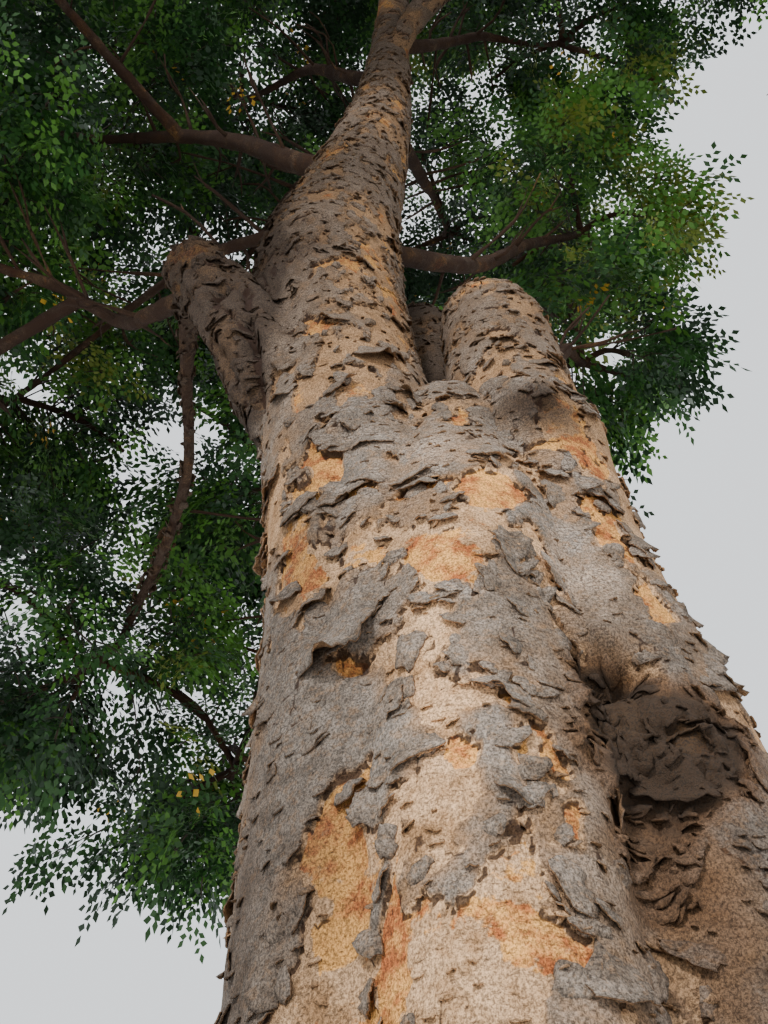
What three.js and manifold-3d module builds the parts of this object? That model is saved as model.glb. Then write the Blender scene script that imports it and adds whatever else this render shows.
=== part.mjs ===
// A mature brazilwood tree, about 13 m tall: a short, fluted trunk of four stems grown together, six
// boughs, the limbs that leave them, and twenty-three masses of foliage. Millimetres, +Z up, the origin in
// the middle of the flat cut at ground level. +X is to the right and +Y away from someone who faces the
// trunk's front rib.
import * as THREE from "three";
import { mergeVertices } from "three/addons/utils/BufferGeometryUtils.js";
import Module from "manifold-3d";

const wasm = await Module();
wasm.setup();

// Driving sizes
const FORK_HEIGHT = 4400; // where the fused stems part into boughs
const CLEARANCE = 0.4; // between a limb and the one that carries it
const TIP_GAP = 0.3; // between a bough's tip and the stem of its foliage
const GROUND_REACH = 1600; // half the side of the block that keeps the trunk above the ground
const STEM_TOP = 0.98; // where a stem that stays below the fork ends, of its length
const FLARE_HEIGHT = 1150; // where a root flare leaves its stem
const FLARE_REACH = 900; // how far a root flare stands out at the ground
const FLARE_RADIUS = [270, 205]; // of a root flare, in the stem and at the ground
const FLARE_TURNS = [18, 74, 128, 186, 232, 282, 330]; // degrees round the trunk, from +X

// How finely each solid is faceted: sides round it and steps along it
const TRUNK_FACETS = [14, 7];
const FLARE_FACETS = [8, 4];
const BOUGH_FACETS = { leader: [13, 16], right_bough: [12, 10], rear_bough: [12, 8], left_bough: [10, 11] };
const THIN_BOUGH_FACETS = [8, 7];
const LIMB_FACETS = [6, 4];
const STEM_FACETS = [3, 3];
const BRANCH_FACETS = [3, 2];
const END_LAP = 3; // how far a grown cutter laps past its ends, of how much it has grown

// The limb of a mass
const LIMB_END = 0.72; // where it enters the mass, of the mass's reach
const LIMB_SAG = -40; // halfway to the point it passes through
const LIMB_RISE = 60; // halfway from there to its tip
const LIMB_TAPER = [1, 0.82, 0.68, 0.56, 0.46];

// The foliage rule: a stem, branches that fan out from it, and leaf sprays along each branch
const FIRST_SEED = 101;
const SEED_STEP = 7; // from one mass to the next
const STEM_BEND = 0.4; // how far a stem keeps its limb's heading, of the way to the mass's middle
const STEM_END = 0.9; // of that way
const STEM_TAPER = [0.96, 0.85]; // of its limb's tip
const BRANCHES = 5;
const BRANCH_FEET = [0.6, 0.97]; // along the stem
const BRANCH_REACH = 0.6; // of the way from the mass's middle to its edge
const BRANCH_RISE = [60, 120]; // of its arch
const BRANCH_RADIUS = [24, 14];
const BRANCH_TESTS = [0.3, 0.44, 0.58, 0.72, 0.86, 1]; // along it, where it has to keep to its mass's space
const SPRAY_PLACES = [0.96, 0.72, 0.48]; // along a branch
const SPRAY_LENGTH = [0.82, 1.04]; // of its mass's mean reach
const SPRAY_WIDTH = 0.62; // of its length
const SPRAY_WIDEST = 0.42; // of its length, from its root
const SPRAY_THICKNESS = 0.015; // of its length
const SPRAY_SINK = 0.4; // how far its root reaches past the middle of its branch, of the branch's radius
const SPRAY_TRIES = 14; // directions tried before a spray is skipped
const SPRAY_SHRINK = 0.022; // how much shorter it is at each further try
const SPRAY_SWING = { least: 0.9, more: 0.5, loose: 0.5, looser: 0.3 }; // radians, and looser at each try
const SPRAY_LIFT = { even: 0.55, loose: 0.7, looser: 0.12 }; // up or down, of its length
const SPRAY_ROLL = 2; // radians, from one side to the other
const LIMB_MARGIN = 85; // between a spray and a limb that passes by
const SPACE_MARGIN = 0.03; // between the spaces of two masses that meet
const PLACE_SPACING = 55; // between the places along a limb that sprays keep clear of
const GOLDEN_TURN = Math.PI * (3 - Math.sqrt(5));

const BARK = { color: 0x9c8874, roughness: 0.95 };
const UPPER_BARK = { color: 0x8a6f5a, roughness: 0.95 };
const LEAVES = { color: 0x35561f, roughness: 0.6 };

// Stems that run from the ground into the boughs: [x, y, z, radius] down the middle of each
const STEMS = {
  leader: [
    [-215, 60, 0, 440],
    [-242, 40, 1200, 384],
    [-268, 30, 2300, 366],
    [-305, 45, 3300, 322],
    [-375, 85, 3900, 300],
    [-455, 125, FORK_HEIGHT, 284],
    [-521, 200, 4995, 286],
    [-562, 240, 5460, 298],
    [-560, 272, 5930, 286],
    [-492, 312, 6520, 238],
    [-413, 350, 7210, 200],
    [-340, 388, 8040, 152],
    [-298, 420, 9030, 120],
    [-262, 450, 10250, 98],
    [-220, 480, 11350, 64],
  ],
  right_bough: [
    [228, -10, 0, 480],
    [228, -15, 1200, 396],
    [215, -10, 2300, 354],
    [158, 5, 3000, 300],
    [106, 25, 3550, 258],
    [94, 45, 4050, 236],
    [82, 90, FORK_HEIGHT, 216],
    [76, 170, 4995, 186],
    [62, 275, 5300, 160],
    [145, 630, 5560, 144],
    [330, 1110, 5880, 125],
    [560, 1650, 6320, 104],
    [760, 2150, 6750, 84],
  ],
  rear_bough: [
    [-110, 300, 0, 430],
    [-110, 260, 1200, 385],
    [-105, 225, 2400, 360],
    [-100, 230, 3300, 315],
    [-105, 300, 3950, 245],
    [-120, 400, FORK_HEIGHT, 205],
    [-135, 520, 5000, 184],
    [-150, 600, 5600, 165],
    [-190, 770, 5990, 148],
    [-270, 1150, 6330, 124],
    [-370, 1700, 6700, 90],
  ],
  front_rib: [
    [-100, -300, 0, 390],
    [-118, -240, 1200, 330],
    [-132, -190, 2300, 292],
    [-140, -120, 3000, 272],
    [-140, -55, 3600, 250],
    [-145, 55, 4270, 178],
  ],
};

// Boughs that leave the leader
const BOUGHS = {
  left_bough: [
    [-470, 120, 4250, 170],
    [-640, 105, 4560, 190],
    [-800, 95, 4880, 150],
    [-950, 95, 5180, 118],
    [-1070, 150, 5450, 98],
    [-1150, 380, 5630, 60],
    [-1215, 750, 5680, 38],
    [-1260, 1250, 5640, 33],
    [-1450, 1800, 5660, 30],
    [-1700, 2350, 5780, 28],
  ],
  east_bough: [
    [-310, 410, 8700, 78],
    [-60, 200, 9250, 72],
    [450, 60, 9720, 65],
    [1250, 60, 9930, 57],
    [2000, 120, 9850, 49],
    [2650, 200, 9600, 40],
  ],
  front_bough: [
    [-255, 455, 10450, 66],
    [-215, 100, 10880, 58],
    [-100, -700, 10850, 51],
    [0, -1500, 10150, 44],
    [45, -2500, 8950, 34],
  ],
};

// Each mass of foliage: its middle, its reach from there, and the limb it is on: at 1 it sits on that limb's
// tip, and otherwise a limb of its own leaves so far up that one, with this radius, and passes via a point
const MASSES = [
  { name: "crown_top", middle: [-150, 450, 11950], reach: [1800, 1700, 1350], on: "leader", at: 1 },
  { name: "upper_back_left", middle: [-1600, 1300, 10550], reach: [1600, 1450, 1200], on: "leader", at: 0.74,
    via: [-800, 700, 9500], radius: 58 },
  { name: "upper_left", middle: [-2600, 900, 8850], reach: [1650, 1450, 1200], on: "leader", at: 0.6,
    via: [-1120, 470, 7600], radius: 72 },
  { name: "mid_back_left", middle: [-1550, 2050, 8750], reach: [1300, 1300, 1000], on: "leader", at: 0.66,
    via: [-850, 900, 8000], radius: 50 },
  { name: "mid_left", middle: [-2950, 2250, 7450], reach: [1550, 1400, 1050], on: "leader", at: 0.575,
    via: [-1300, 850, 6980], radius: 44 },
  { name: "left", middle: [-3000, 650, 7050], reach: [1450, 1250, 1000], on: "left_bough", at: 0.42,
    via: [-1570, 700, 6050], radius: 46 },
  { name: "far_left", middle: [-4300, 1500, 6500], reach: [1500, 1500, 1050], on: "left_limb", at: 0.66,
    via: [-2900, 1250, 6050], radius: 36 },
  { name: "low_left", middle: [-2250, 3150, 5950], reach: [1450, 1400, 1000], on: "left_bough", at: 1 },
  { name: "low_back_left", middle: [-1350, 4050, 5900], reach: [1350, 1350, 1100], on: "rear_bough", at: 0.86,
    via: [-900, 2500, 5900], radius: 54 },
  { name: "back_left", middle: [-1300, 2800, 7300], reach: [1350, 1250, 1050], on: "rear_bough", at: 1 },
  { name: "back", middle: [380, 3850, 8300], reach: [1350, 1450, 1150], on: "right_bough", at: 1 },
  { name: "back_top", middle: [250, 2350, 10250], reach: [1550, 1450, 1200], on: "leader", at: 0.71,
    via: [-50, 1300, 8950], radius: 54 },
  { name: "top_right", middle: [1200, 850, 10650], reach: [1250, 1300, 1100], on: "leader", at: 0.8,
    via: [250, 620, 9900], radius: 50 },
  { name: "right", middle: [1100, 1600, 8850], reach: [1000, 1100, 900], on: "leader", at: 0.53,
    via: [180, 850, 6900], radius: 60 },
  { name: "right_low", middle: [920, 1800, 7450], reach: [900, 900, 750], on: "right_bough", at: 0.78,
    via: [600, 1150, 6500], radius: 52 },
  { name: "far_right", middle: [3700, 1400, 7750], reach: [1500, 1450, 1100], on: "east_bough", at: 0.9,
    via: [2950, 850, 8800], radius: 40 },
  { name: "upper_right", middle: [3750, 150, 9450], reach: [1500, 1400, 1150], on: "east_bough", at: 1 },
  { name: "top_east", middle: [2300, -300, 10750], reach: [1400, 1300, 1050], on: "east_bough", at: 0.56,
    via: [1750, 200, 10150], radius: 40 },
  { name: "front_right", middle: [2600, -2000, 8250], reach: [1650, 1550, 1150], on: "east_bough", at: 0.8,
    via: [2350, -700, 9250], radius: 42 },
  { name: "front", middle: [50, -3200, 8400], reach: [1650, 1500, 1150], on: "front_bough", at: 1 },
  { name: "front_top", middle: [900, -1550, 10850], reach: [1500, 1450, 1100], on: "front_bough", at: 0.26,
    via: [250, -750, 11150], radius: 40 },
  { name: "upper_front_left", middle: [-1600, -1250, 10000], reach: [1600, 1450, 1150], on: "front_bough",
    at: 0.36, via: [-700, -850, 10550], radius: 40 },
  { name: "front_left", middle: [-2700, -1900, 7950], reach: [1650, 1550, 1150], on: "upper_left_limb",
    at: 0.82, via: [-2500, -500, 8350], radius: 36 },
];

// The same few sums give the same tree every time
function seededRandom(seed) {
  let state = seed >>> 0;
  return () => {
    state = (Math.imul(state, 1664525) + 1013904223) >>> 0;
    return state / 4294967296;
  };
}

function lerp(low, high, share) {
  return low + (high - low) * share;
}

// A limb: a smooth line through its points, with a radius that changes as smoothly
function limbThrough(points) {
  const line = new THREE.CatmullRomCurve3(
    points.map(([x, y, z]) => new THREE.Vector3(x, y, z)), false, "catmullrom", 0.5);
  const width = new THREE.CatmullRomCurve3(
    points.map((p) => new THREE.Vector3(p[3], 0, 0)), false, "catmullrom", 0.5);
  return {
    pointAt: (u) => line.getPointAt(u),
    tangentAt: (u) => line.getTangentAt(u),
    radiusAt: (u) => width.getPoint(line.getUtoTmapping(u)).x,
    length: line.getLength(),
    // The share of the length at which the line first reaches a height
    shareAtHeight(height) {
      let low = 0;
      let high = 1;
      for (let i = 0; i < 40; i += 1) {
        const middle = (low + high) / 2;
        if (line.getPointAt(middle).z < height) low = middle;
        else high = middle;
      }
      return low;
    },
  };
}

function solidOf(geometry) {
  const plain = geometry.clone();
  plain.deleteAttribute("normal");
  plain.deleteAttribute("uv");
  const merged = mergeVertices(plain, 1e-3);
  return new wasm.Manifold(new wasm.Mesh({
    numProp: 3,
    vertProperties: merged.attributes.position.array,
    triVerts: new Uint32Array(merged.index.array),
  }));
}

// The stretch of a limb between two shares of its length: a cylinder whose rings follow the line. A grown
// one stands out all round, and a little more past its ends, so that two in a row leave no film between them
function limbSolid(limb, from, to, [sides, steps], grow = 0) {
  let side = new THREE.Vector3(1, 0, 0);
  const rings = Array.from({ length: steps + 1 }, (_, step) => {
    const share = lerp(from, to, step / steps);
    const along = limb.tangentAt(share);
    side = side.clone().addScaledVector(along, -side.dot(along)).normalize();
    const past = step === 0 ? -END_LAP * grow : step === steps ? END_LAP * grow : 0;
    return {
      side,
      up: new THREE.Vector3().crossVectors(along, side),
      middle: limb.pointAt(share).addScaledVector(along, past),
      radius: limb.radiusAt(share) + grow,
    };
  });
  const geometry = new THREE.CylinderGeometry(1, 1, 1, sides, steps);
  const position = geometry.attributes.position;
  for (let i = 0; i < position.count; i += 1) {
    const ring = rings[Math.round((position.getY(i) + 0.5) * steps)];
    const place = ring.middle.clone()
      .addScaledVector(ring.side, position.getX(i) * ring.radius)
      .addScaledVector(ring.up, -position.getZ(i) * ring.radius);
    position.setXYZ(i, place.x, place.y, place.z);
  }
  return solidOf(geometry);
}

function largestBody(solid) {
  return solid.decompose().reduce((a, b) => (b.volume() > a.volume() ? b : a));
}

const limbs = {};
for (const [name, points] of Object.entries(STEMS)) limbs[name] = limbThrough(points);
for (const [name, points] of Object.entries(BOUGHS)) limbs[name] = limbThrough(points);

// How far out a point lies in a mass: 0 in the middle and 1 at its edge
function reachShare(mass, point) {
  return Math.hypot(
    (point.x - mass.middle[0]) / mass.reach[0],
    (point.y - mass.middle[1]) / mass.reach[1],
    (point.z - mass.middle[2]) / mass.reach[2],
  );
}

// The limb that carries a mass, from the limb it leaves to where it enters the mass
function limbToMass(mass) {
  const parent = limbs[mass.on];
  const foot = parent.pointAt(mass.at);
  const middle = new THREE.Vector3(...mass.middle);
  const via = new THREE.Vector3(...mass.via);
  const tip = via.clone().lerp(middle, 1 - LIMB_END / reachShare(mass, via));
  const halfway = (a, b, rise) => a.clone().lerp(b, 0.5).add(new THREE.Vector3(0, 0, rise));
  const points = [foot, halfway(foot, via, LIMB_SAG), via, halfway(via, tip, LIMB_RISE), tip];
  return limbThrough(points.map((p, i) => [p.x, p.y, p.z, LIMB_TAPER[i] * mass.radius]));
}

for (const mass of MASSES) {
  mass.limb = mass.via ? `${mass.name}_limb` : mass.on;
  if (mass.via) limbs[mass.limb] = limbToMass(mass);
}

// The stem of a mass, from the tip of the limb that carries it to near the mass's middle
function stemOfMass(mass) {
  const carrier = limbs[mass.limb];
  const heading = carrier.tangentAt(1);
  const start = carrier.pointAt(1).addScaledVector(heading, TIP_GAP);
  const middle = new THREE.Vector3(...mass.middle);
  const bend = start.clone().addScaledVector(heading, start.distanceTo(middle) * STEM_BEND);
  const heart = start.clone().lerp(middle, STEM_END);
  const radii = [...STEM_TAPER.map((share) => share * carrier.radiusAt(1)), BRANCH_RADIUS[0] * 1.1];
  return limbThrough([start, bend, heart].map((p, i) => [p.x, p.y, p.z, radii[i]]));
}

for (const mass of MASSES) mass.stem = stemOfMass(mass);

// Places along every limb and stem, to keep the foliage of the other masses off them
function placesAlong(limb, owner) {
  const steps = Math.ceil(limb.length / PLACE_SPACING);
  return Array.from({ length: steps + 1 }, (_, i) => ({
    owner,
    point: limb.pointAt(i / steps),
    radius: limb.radiusAt(i / steps),
  }));
}

const limbPlaces = [
  ...Object.values(limbs).flatMap((limb) => placesAlong(limb, null)),
  ...MASSES.flatMap((mass) => placesAlong(mass.stem, mass)),
];

function keepsClear(mass, point, margin) {
  const own = reachShare(mass, point);
  if (own > 1) return false;
  if (MASSES.some((other) => other !== mass && reachShare(other, point) < own + SPACE_MARGIN)) return false;
  return limbPlaces.every(({ owner, point: place, radius }) =>
    owner === mass || place.distanceTo(point) > radius + margin);
}

// One leaf spray: a flat eight-sided blade, widest near its root, that tapers to a point
function spraySolid(spray) {
  const face = new THREE.Vector3().crossVectors(spray.along, spray.across);
  const geometry = new THREE.OctahedronGeometry(1, 0);
  const position = geometry.attributes.position;
  for (let i = 0; i < position.count; i += 1) {
    const x = position.getX(i);
    const forward = x > 0.5 ? 1 : x < -0.5 ? 0 : SPRAY_WIDEST;
    const place = spray.root.clone()
      .addScaledVector(spray.along, forward * spray.length)
      .addScaledVector(spray.across, (position.getY(i) * spray.length * SPRAY_WIDTH) / 2)
      .addScaledVector(face, (position.getZ(i) * spray.length * SPRAY_THICKNESS) / 2);
    position.setXYZ(i, place.x, place.y, place.z);
  }
  return solidOf(geometry);
}

// Whether a spray keeps to its mass's space, tested all over the blade past its root
function sprayFits(mass, spray) {
  for (let forward = 0.25; forward <= 1; forward += 0.125) {
    const half = forward < SPRAY_WIDEST ? forward / SPRAY_WIDEST : (1 - forward) / (1 - SPRAY_WIDEST);
    for (let side = -1; side <= 1; side += 0.5) {
      const point = spray.root.clone()
        .addScaledVector(spray.along, forward * spray.length)
        .addScaledVector(spray.across, (side * half * spray.length * SPRAY_WIDTH) / 2);
      if (!keepsClear(mass, point, LIMB_MARGIN)) return false;
    }
  }
  return true;
}

// A spray on a branch, at the first direction tried that keeps to the mass's space and crosses nothing in it.
// Its side is 0 straight on, and 1 or -1 to the sides
function sprayOnBranch(mass, branch, share, side, random, inTheWay) {
  const foot = branch.pointAt(share);
  const sink = -SPRAY_SINK * branch.radiusAt(share);
  const meanReach = (mass.reach[0] + mass.reach[1] + mass.reach[2]) / 3;
  const onward = branch.tangentAt(share);
  const upright = new THREE.Vector3(0, 0, 1);
  for (let attempt = 0; attempt < SPRAY_TRIES; attempt += 1) {
    const { least, more, loose, looser } = SPRAY_SWING;
    const swing = side * (least + more * random()) + (random() - 0.5) * (loose + looser * attempt);
    const lift = (random() - SPRAY_LIFT.even) * (SPRAY_LIFT.loose + SPRAY_LIFT.looser * attempt);
    const roll = (random() - 0.5) * SPRAY_ROLL;
    const length = meanReach * lerp(...SPRAY_LENGTH, random()) * (1 - SPRAY_SHRINK * attempt);
    const along = onward.clone().applyAxisAngle(upright, swing);
    along.z = along.z * 0.5 + lift;
    along.normalize();
    const across = new THREE.Vector3().crossVectors(along, upright).normalize().applyAxisAngle(along, roll);
    const spray = { root: foot.clone().addScaledVector(along, sink), along, across, length };
    if (!sprayFits(mass, spray)) continue;
    const solid = spraySolid(spray);
    if (inTheWay.every((other) => solid.intersect(other).isEmpty())) return solid;
  }
  return null;
}

// Directions spread evenly over a ball, turned by a seeded angle
function evenDirection(index, count, turn) {
  const height = 1 - (2 * (index + 0.5)) / count;
  const round = Math.sqrt(1 - height * height);
  const angle = index * GOLDEN_TURN + turn;
  return new THREE.Vector3(round * Math.cos(angle), round * Math.sin(angle), height);
}

function branchOfMass(mass, index, turn, random) {
  const foot = mass.stem.pointAt(lerp(...BRANCH_FEET, ((index * 3) % BRANCHES) / BRANCHES));
  const reach = new THREE.Vector3(...mass.reach).multiplyScalar(BRANCH_REACH);
  const end = new THREE.Vector3(...mass.middle).add(evenDirection(index, BRANCHES, turn).multiply(reach));
  const arch = foot.clone().lerp(end, 0.55).add(new THREE.Vector3(0, 0, lerp(...BRANCH_RISE, random())));
  const radii = [BRANCH_RADIUS[0], lerp(...BRANCH_RADIUS, 0.5), BRANCH_RADIUS[1]];
  return limbThrough([foot, arch, end].map((p, i) => [p.x, p.y, p.z, radii[i]]));
}

function growMass(mass, seed) {
  const random = seededRandom(seed);
  const turn = random() * Math.PI * 2;
  const stem = limbSolid(mass.stem, 0, 1, STEM_FACETS);
  const branches = Array.from({ length: BRANCHES }, (_, i) => branchOfMass(mass, i, turn, random))
    .filter((branch) => BRANCH_TESTS.every((share) => keepsClear(mass, branch.pointAt(share), LIMB_MARGIN)))
    .map((limb) => ({ limb, solid: limbSolid(limb, 0, 1, BRANCH_FACETS) }));
  const sprays = [];
  branches.forEach((branch, i) => {
    const others = branches.filter((other) => other !== branch).map((other) => other.solid);
    SPRAY_PLACES.forEach((share, k) => {
      const side = k === 0 ? 0 : k % 2 === i % 2 ? 1 : -1;
      const spray = sprayOnBranch(mass, branch.limb, share, side, random, [stem, ...others, ...sprays]);
      if (spray) sprays.push(spray);
    });
  });
  let solid = stem;
  for (const piece of [...branches.map((branch) => branch.solid), ...sprays]) solid = solid.add(piece);
  return largestBody(solid);
}

function rootFlare(degrees) {
  const turn = THREE.MathUtils.degToRad(degrees);
  const outward = (reach, z, radius) => [Math.cos(turn) * reach, Math.sin(turn) * reach, z, radius];
  const limb = limbThrough([
    outward(FLARE_REACH * 0.36, FLARE_HEIGHT, FLARE_RADIUS[0]),
    outward(FLARE_REACH * 0.52, FLARE_HEIGHT * 0.5, FLARE_RADIUS[0]),
    outward(FLARE_REACH * 0.78, FLARE_HEIGHT * 0.12, lerp(...FLARE_RADIUS, 0.6)),
    outward(FLARE_REACH * 1.1, -FLARE_HEIGHT * 0.2, FLARE_RADIUS[1]),
  ]);
  return limbSolid(limb, 0, 1, FLARE_FACETS);
}

// A stem from the ground to the fork, or to its own top below it. The boughs are cut back from a grown copy
function stemColumn(name, grow) {
  const stem = limbs[name];
  return limbSolid(stem, 0, Math.min(stem.shareAtHeight(FORK_HEIGHT), STEM_TOP), TRUNK_FACETS, grow);
}

// The stems and root flares fused, and cut flat at the ground
function trunkSolid() {
  let trunk = null;
  for (const name of Object.keys(STEMS)) {
    const column = stemColumn(name, 0);
    trunk = trunk ? trunk.add(column) : column;
  }
  for (const degrees of FLARE_TURNS) trunk = trunk.add(rootFlare(degrees));
  const above = new THREE.BoxGeometry(GROUND_REACH * 2, GROUND_REACH * 2, FORK_HEIGHT * 1.5)
    .translate(0, 0, FORK_HEIGHT * 0.75);
  return largestBody(trunk.intersect(solidOf(above)));
}

const tree = new THREE.Group();
const standing = []; // grown copies of the limbs so far, which each new limb is cut back from

function addNode(name, solid, look) {
  const made = solid.getMesh();
  const geometry = new THREE.BufferGeometry();
  geometry.setAttribute("position", new THREE.BufferAttribute(new Float32Array(made.vertProperties), 3));
  geometry.setIndex(new THREE.BufferAttribute(new Uint32Array(made.triVerts), 1));
  geometry.computeVertexNormals();
  const mesh = new THREE.Mesh(geometry, new THREE.MeshStandardMaterial({ ...look, metalness: 0 }));
  mesh.name = name;
  tree.add(mesh);
}

function addLimb(name, from, facets, cutters) {
  const limb = limbs[name];
  let solid = limbSolid(limb, from, 1, facets);
  for (const cutter of cutters) solid = solid.subtract(cutter);
  addNode(name, largestBody(solid), UPPER_BARK);
  standing.push(limbSolid(limb, from, 1, facets, CLEARANCE));
}

addNode("trunk", trunkSolid(), BARK);
for (const name of ["leader", "right_bough", "rear_bough"]) {
  const others = Object.keys(STEMS).filter((other) => other !== name);
  const cutters = [...others.map((other) => stemColumn(other, CLEARANCE)), ...standing];
  const foot = limbs[name].shareAtHeight(FORK_HEIGHT) + CLEARANCE / limbs[name].length;
  addLimb(name, foot, BOUGH_FACETS[name], cutters);
}
standing.push(...Object.keys(STEMS).map((name) => stemColumn(name, CLEARANCE)));
for (const name of Object.keys(BOUGHS)) {
  addLimb(name, 0, BOUGH_FACETS[name] ?? THIN_BOUGH_FACETS, standing);
}
for (const mass of MASSES) {
  if (mass.via) addLimb(mass.limb, 0, LIMB_FACETS, standing);
}
MASSES.forEach((mass, index) => {
  addNode(`${mass.name}_foliage`, growMass(mass, FIRST_SEED + index * SEED_STEP), LEAVES);
});

export default tree;
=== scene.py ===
"""Dresses a mature brazilwood tree: flaking bark on its trunk and boughs, twigs, and leaves in sprays."""
import math

import bpy
import numpy as np
from bpy.props import FloatProperty, FloatVectorProperty, IntProperty, PointerProperty
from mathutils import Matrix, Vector
from mathutils.bvhtree import BVHTree


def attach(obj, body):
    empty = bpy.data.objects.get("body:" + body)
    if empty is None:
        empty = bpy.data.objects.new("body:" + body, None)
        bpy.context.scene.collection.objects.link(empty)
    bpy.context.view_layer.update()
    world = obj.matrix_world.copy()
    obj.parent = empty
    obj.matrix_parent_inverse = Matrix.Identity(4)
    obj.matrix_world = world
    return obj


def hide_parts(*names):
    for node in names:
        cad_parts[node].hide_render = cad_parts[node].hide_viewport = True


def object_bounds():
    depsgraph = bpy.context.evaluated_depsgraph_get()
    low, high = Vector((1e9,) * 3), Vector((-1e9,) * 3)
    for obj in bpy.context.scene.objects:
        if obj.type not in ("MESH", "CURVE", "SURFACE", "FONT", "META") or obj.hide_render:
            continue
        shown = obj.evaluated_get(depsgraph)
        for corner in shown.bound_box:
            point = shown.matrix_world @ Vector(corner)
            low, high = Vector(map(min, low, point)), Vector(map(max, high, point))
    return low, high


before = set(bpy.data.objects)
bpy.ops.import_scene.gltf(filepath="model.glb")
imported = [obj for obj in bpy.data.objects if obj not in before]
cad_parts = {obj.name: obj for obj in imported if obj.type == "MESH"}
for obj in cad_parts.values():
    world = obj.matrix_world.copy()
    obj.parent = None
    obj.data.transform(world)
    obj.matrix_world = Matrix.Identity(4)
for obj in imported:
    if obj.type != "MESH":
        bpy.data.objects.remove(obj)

bl_info = {
    "name": "Brazilwood Tree",
    "version": (1, 0, 0),
    "blender": (4, 5, 0),
    "location": "View3D > Sidebar > Tree",
    "description": "Bark, twigs and leaves for a mature brazilwood tree",
    "category": "Object",
}

CAD_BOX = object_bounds()
MM = 0.001
UP = np.array([0.0, 0.0, 1.0])
GOLDEN_TURN = math.pi * (3 - math.sqrt(5))
GOLDEN_SHARE = 0.618034
BARK_SEED = 9
LIMB_SEED = 33
LEAF_SEED = 21

# The photograph's eye: held at standing height beside the trunk, looking steeply up
PHOTO_SIZE = (768, 1024)
EYE = (-336 * MM, -2000 * MM, 1450 * MM)
EYE_PITCH = 50  # degrees above level
FOCAL_PIXELS = 1126
SENSOR = 36

# The stage: the floor's disc, and each light's way, strength as a share of the key light's, and angle
FLOOR_SIDES = 96
FLOOR_RADIUS = 400
LIGHTS = (
    ("key", (0.36, 0.78, -0.52), 1.0, 9),
    ("fill", (-0.7, 0.55, -0.3), 0.18, 60),
)

FORK_HEIGHT = 4400
FLARE_HEIGHT = 1150
FLARE_REACH = 900
FLARE_RADIUS = (270, 205)
FLARE_TURNS = (18, 74, 128, 186, 232, 282, 330)

# Stems that run from the ground into the boughs: x, y, z and radius down the middle of each, in millimetres
STEMS = {
    "leader": (
        (-215, 60, 0, 440),
        (-242, 40, 1200, 384),
        (-268, 30, 2300, 366),
        (-305, 45, 3300, 322),
        (-375, 85, 3900, 300),
        (-455, 125, FORK_HEIGHT, 284),
        (-521, 200, 4995, 286),
        (-562, 240, 5460, 298),
        (-560, 272, 5930, 286),
        (-492, 312, 6520, 238),
        (-413, 350, 7210, 200),
        (-340, 388, 8040, 152),
        (-298, 420, 9030, 120),
        (-262, 450, 10250, 98),
        (-220, 480, 11350, 64),
    ),
    "right_bough": (
        (228, -10, 0, 480),
        (228, -15, 1200, 396),
        (215, -10, 2300, 354),
        (158, 5, 3000, 300),
        (106, 25, 3550, 258),
        (94, 45, 4050, 236),
        (82, 90, FORK_HEIGHT, 216),
        (76, 170, 4995, 186),
        (62, 275, 5300, 160),
        (145, 630, 5560, 144),
        (330, 1110, 5880, 125),
        (560, 1650, 6320, 104),
        (760, 2150, 6750, 84),
    ),
    "rear_bough": (
        (-110, 300, 0, 430),
        (-110, 260, 1200, 385),
        (-105, 225, 2400, 360),
        (-100, 230, 3300, 315),
        (-105, 300, 3950, 245),
        (-120, 400, FORK_HEIGHT, 205),
        (-135, 520, 5000, 184),
        (-150, 600, 5600, 165),
        (-190, 770, 5990, 148),
        (-270, 1150, 6330, 124),
        (-370, 1700, 6700, 90),
    ),
    "front_rib": (
        (-100, -300, 0, 390),
        (-118, -240, 1200, 330),
        (-132, -190, 2300, 292),
        (-140, -120, 3000, 272),
        (-140, -55, 3600, 250),
        (-145, 55, 4270, 178),
    ),
}

# Boughs that leave the leader
BOUGHS = {
    "left_bough": (
        (-470, 120, 4250, 170),
        (-640, 105, 4560, 190),
        (-800, 95, 4880, 150),
        (-950, 95, 5180, 118),
        (-1070, 150, 5450, 98),
        (-1150, 380, 5630, 60),
        (-1215, 750, 5680, 38),
        (-1260, 1250, 5640, 33),
        (-1450, 1800, 5660, 30),
        (-1700, 2350, 5780, 28),
    ),
    "east_bough": (
        (-310, 410, 8700, 78),
        (-60, 200, 9250, 72),
        (450, 60, 9720, 65),
        (1250, 60, 9930, 57),
        (2000, 120, 9850, 49),
        (2650, 200, 9600, 40),
    ),
    "front_bough": (
        (-255, 455, 10450, 66),
        (-215, 100, 10880, 58),
        (-100, -700, 10850, 51),
        (0, -1500, 10150, 44),
        (45, -2500, 8950, 34),
    ),
}

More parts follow.
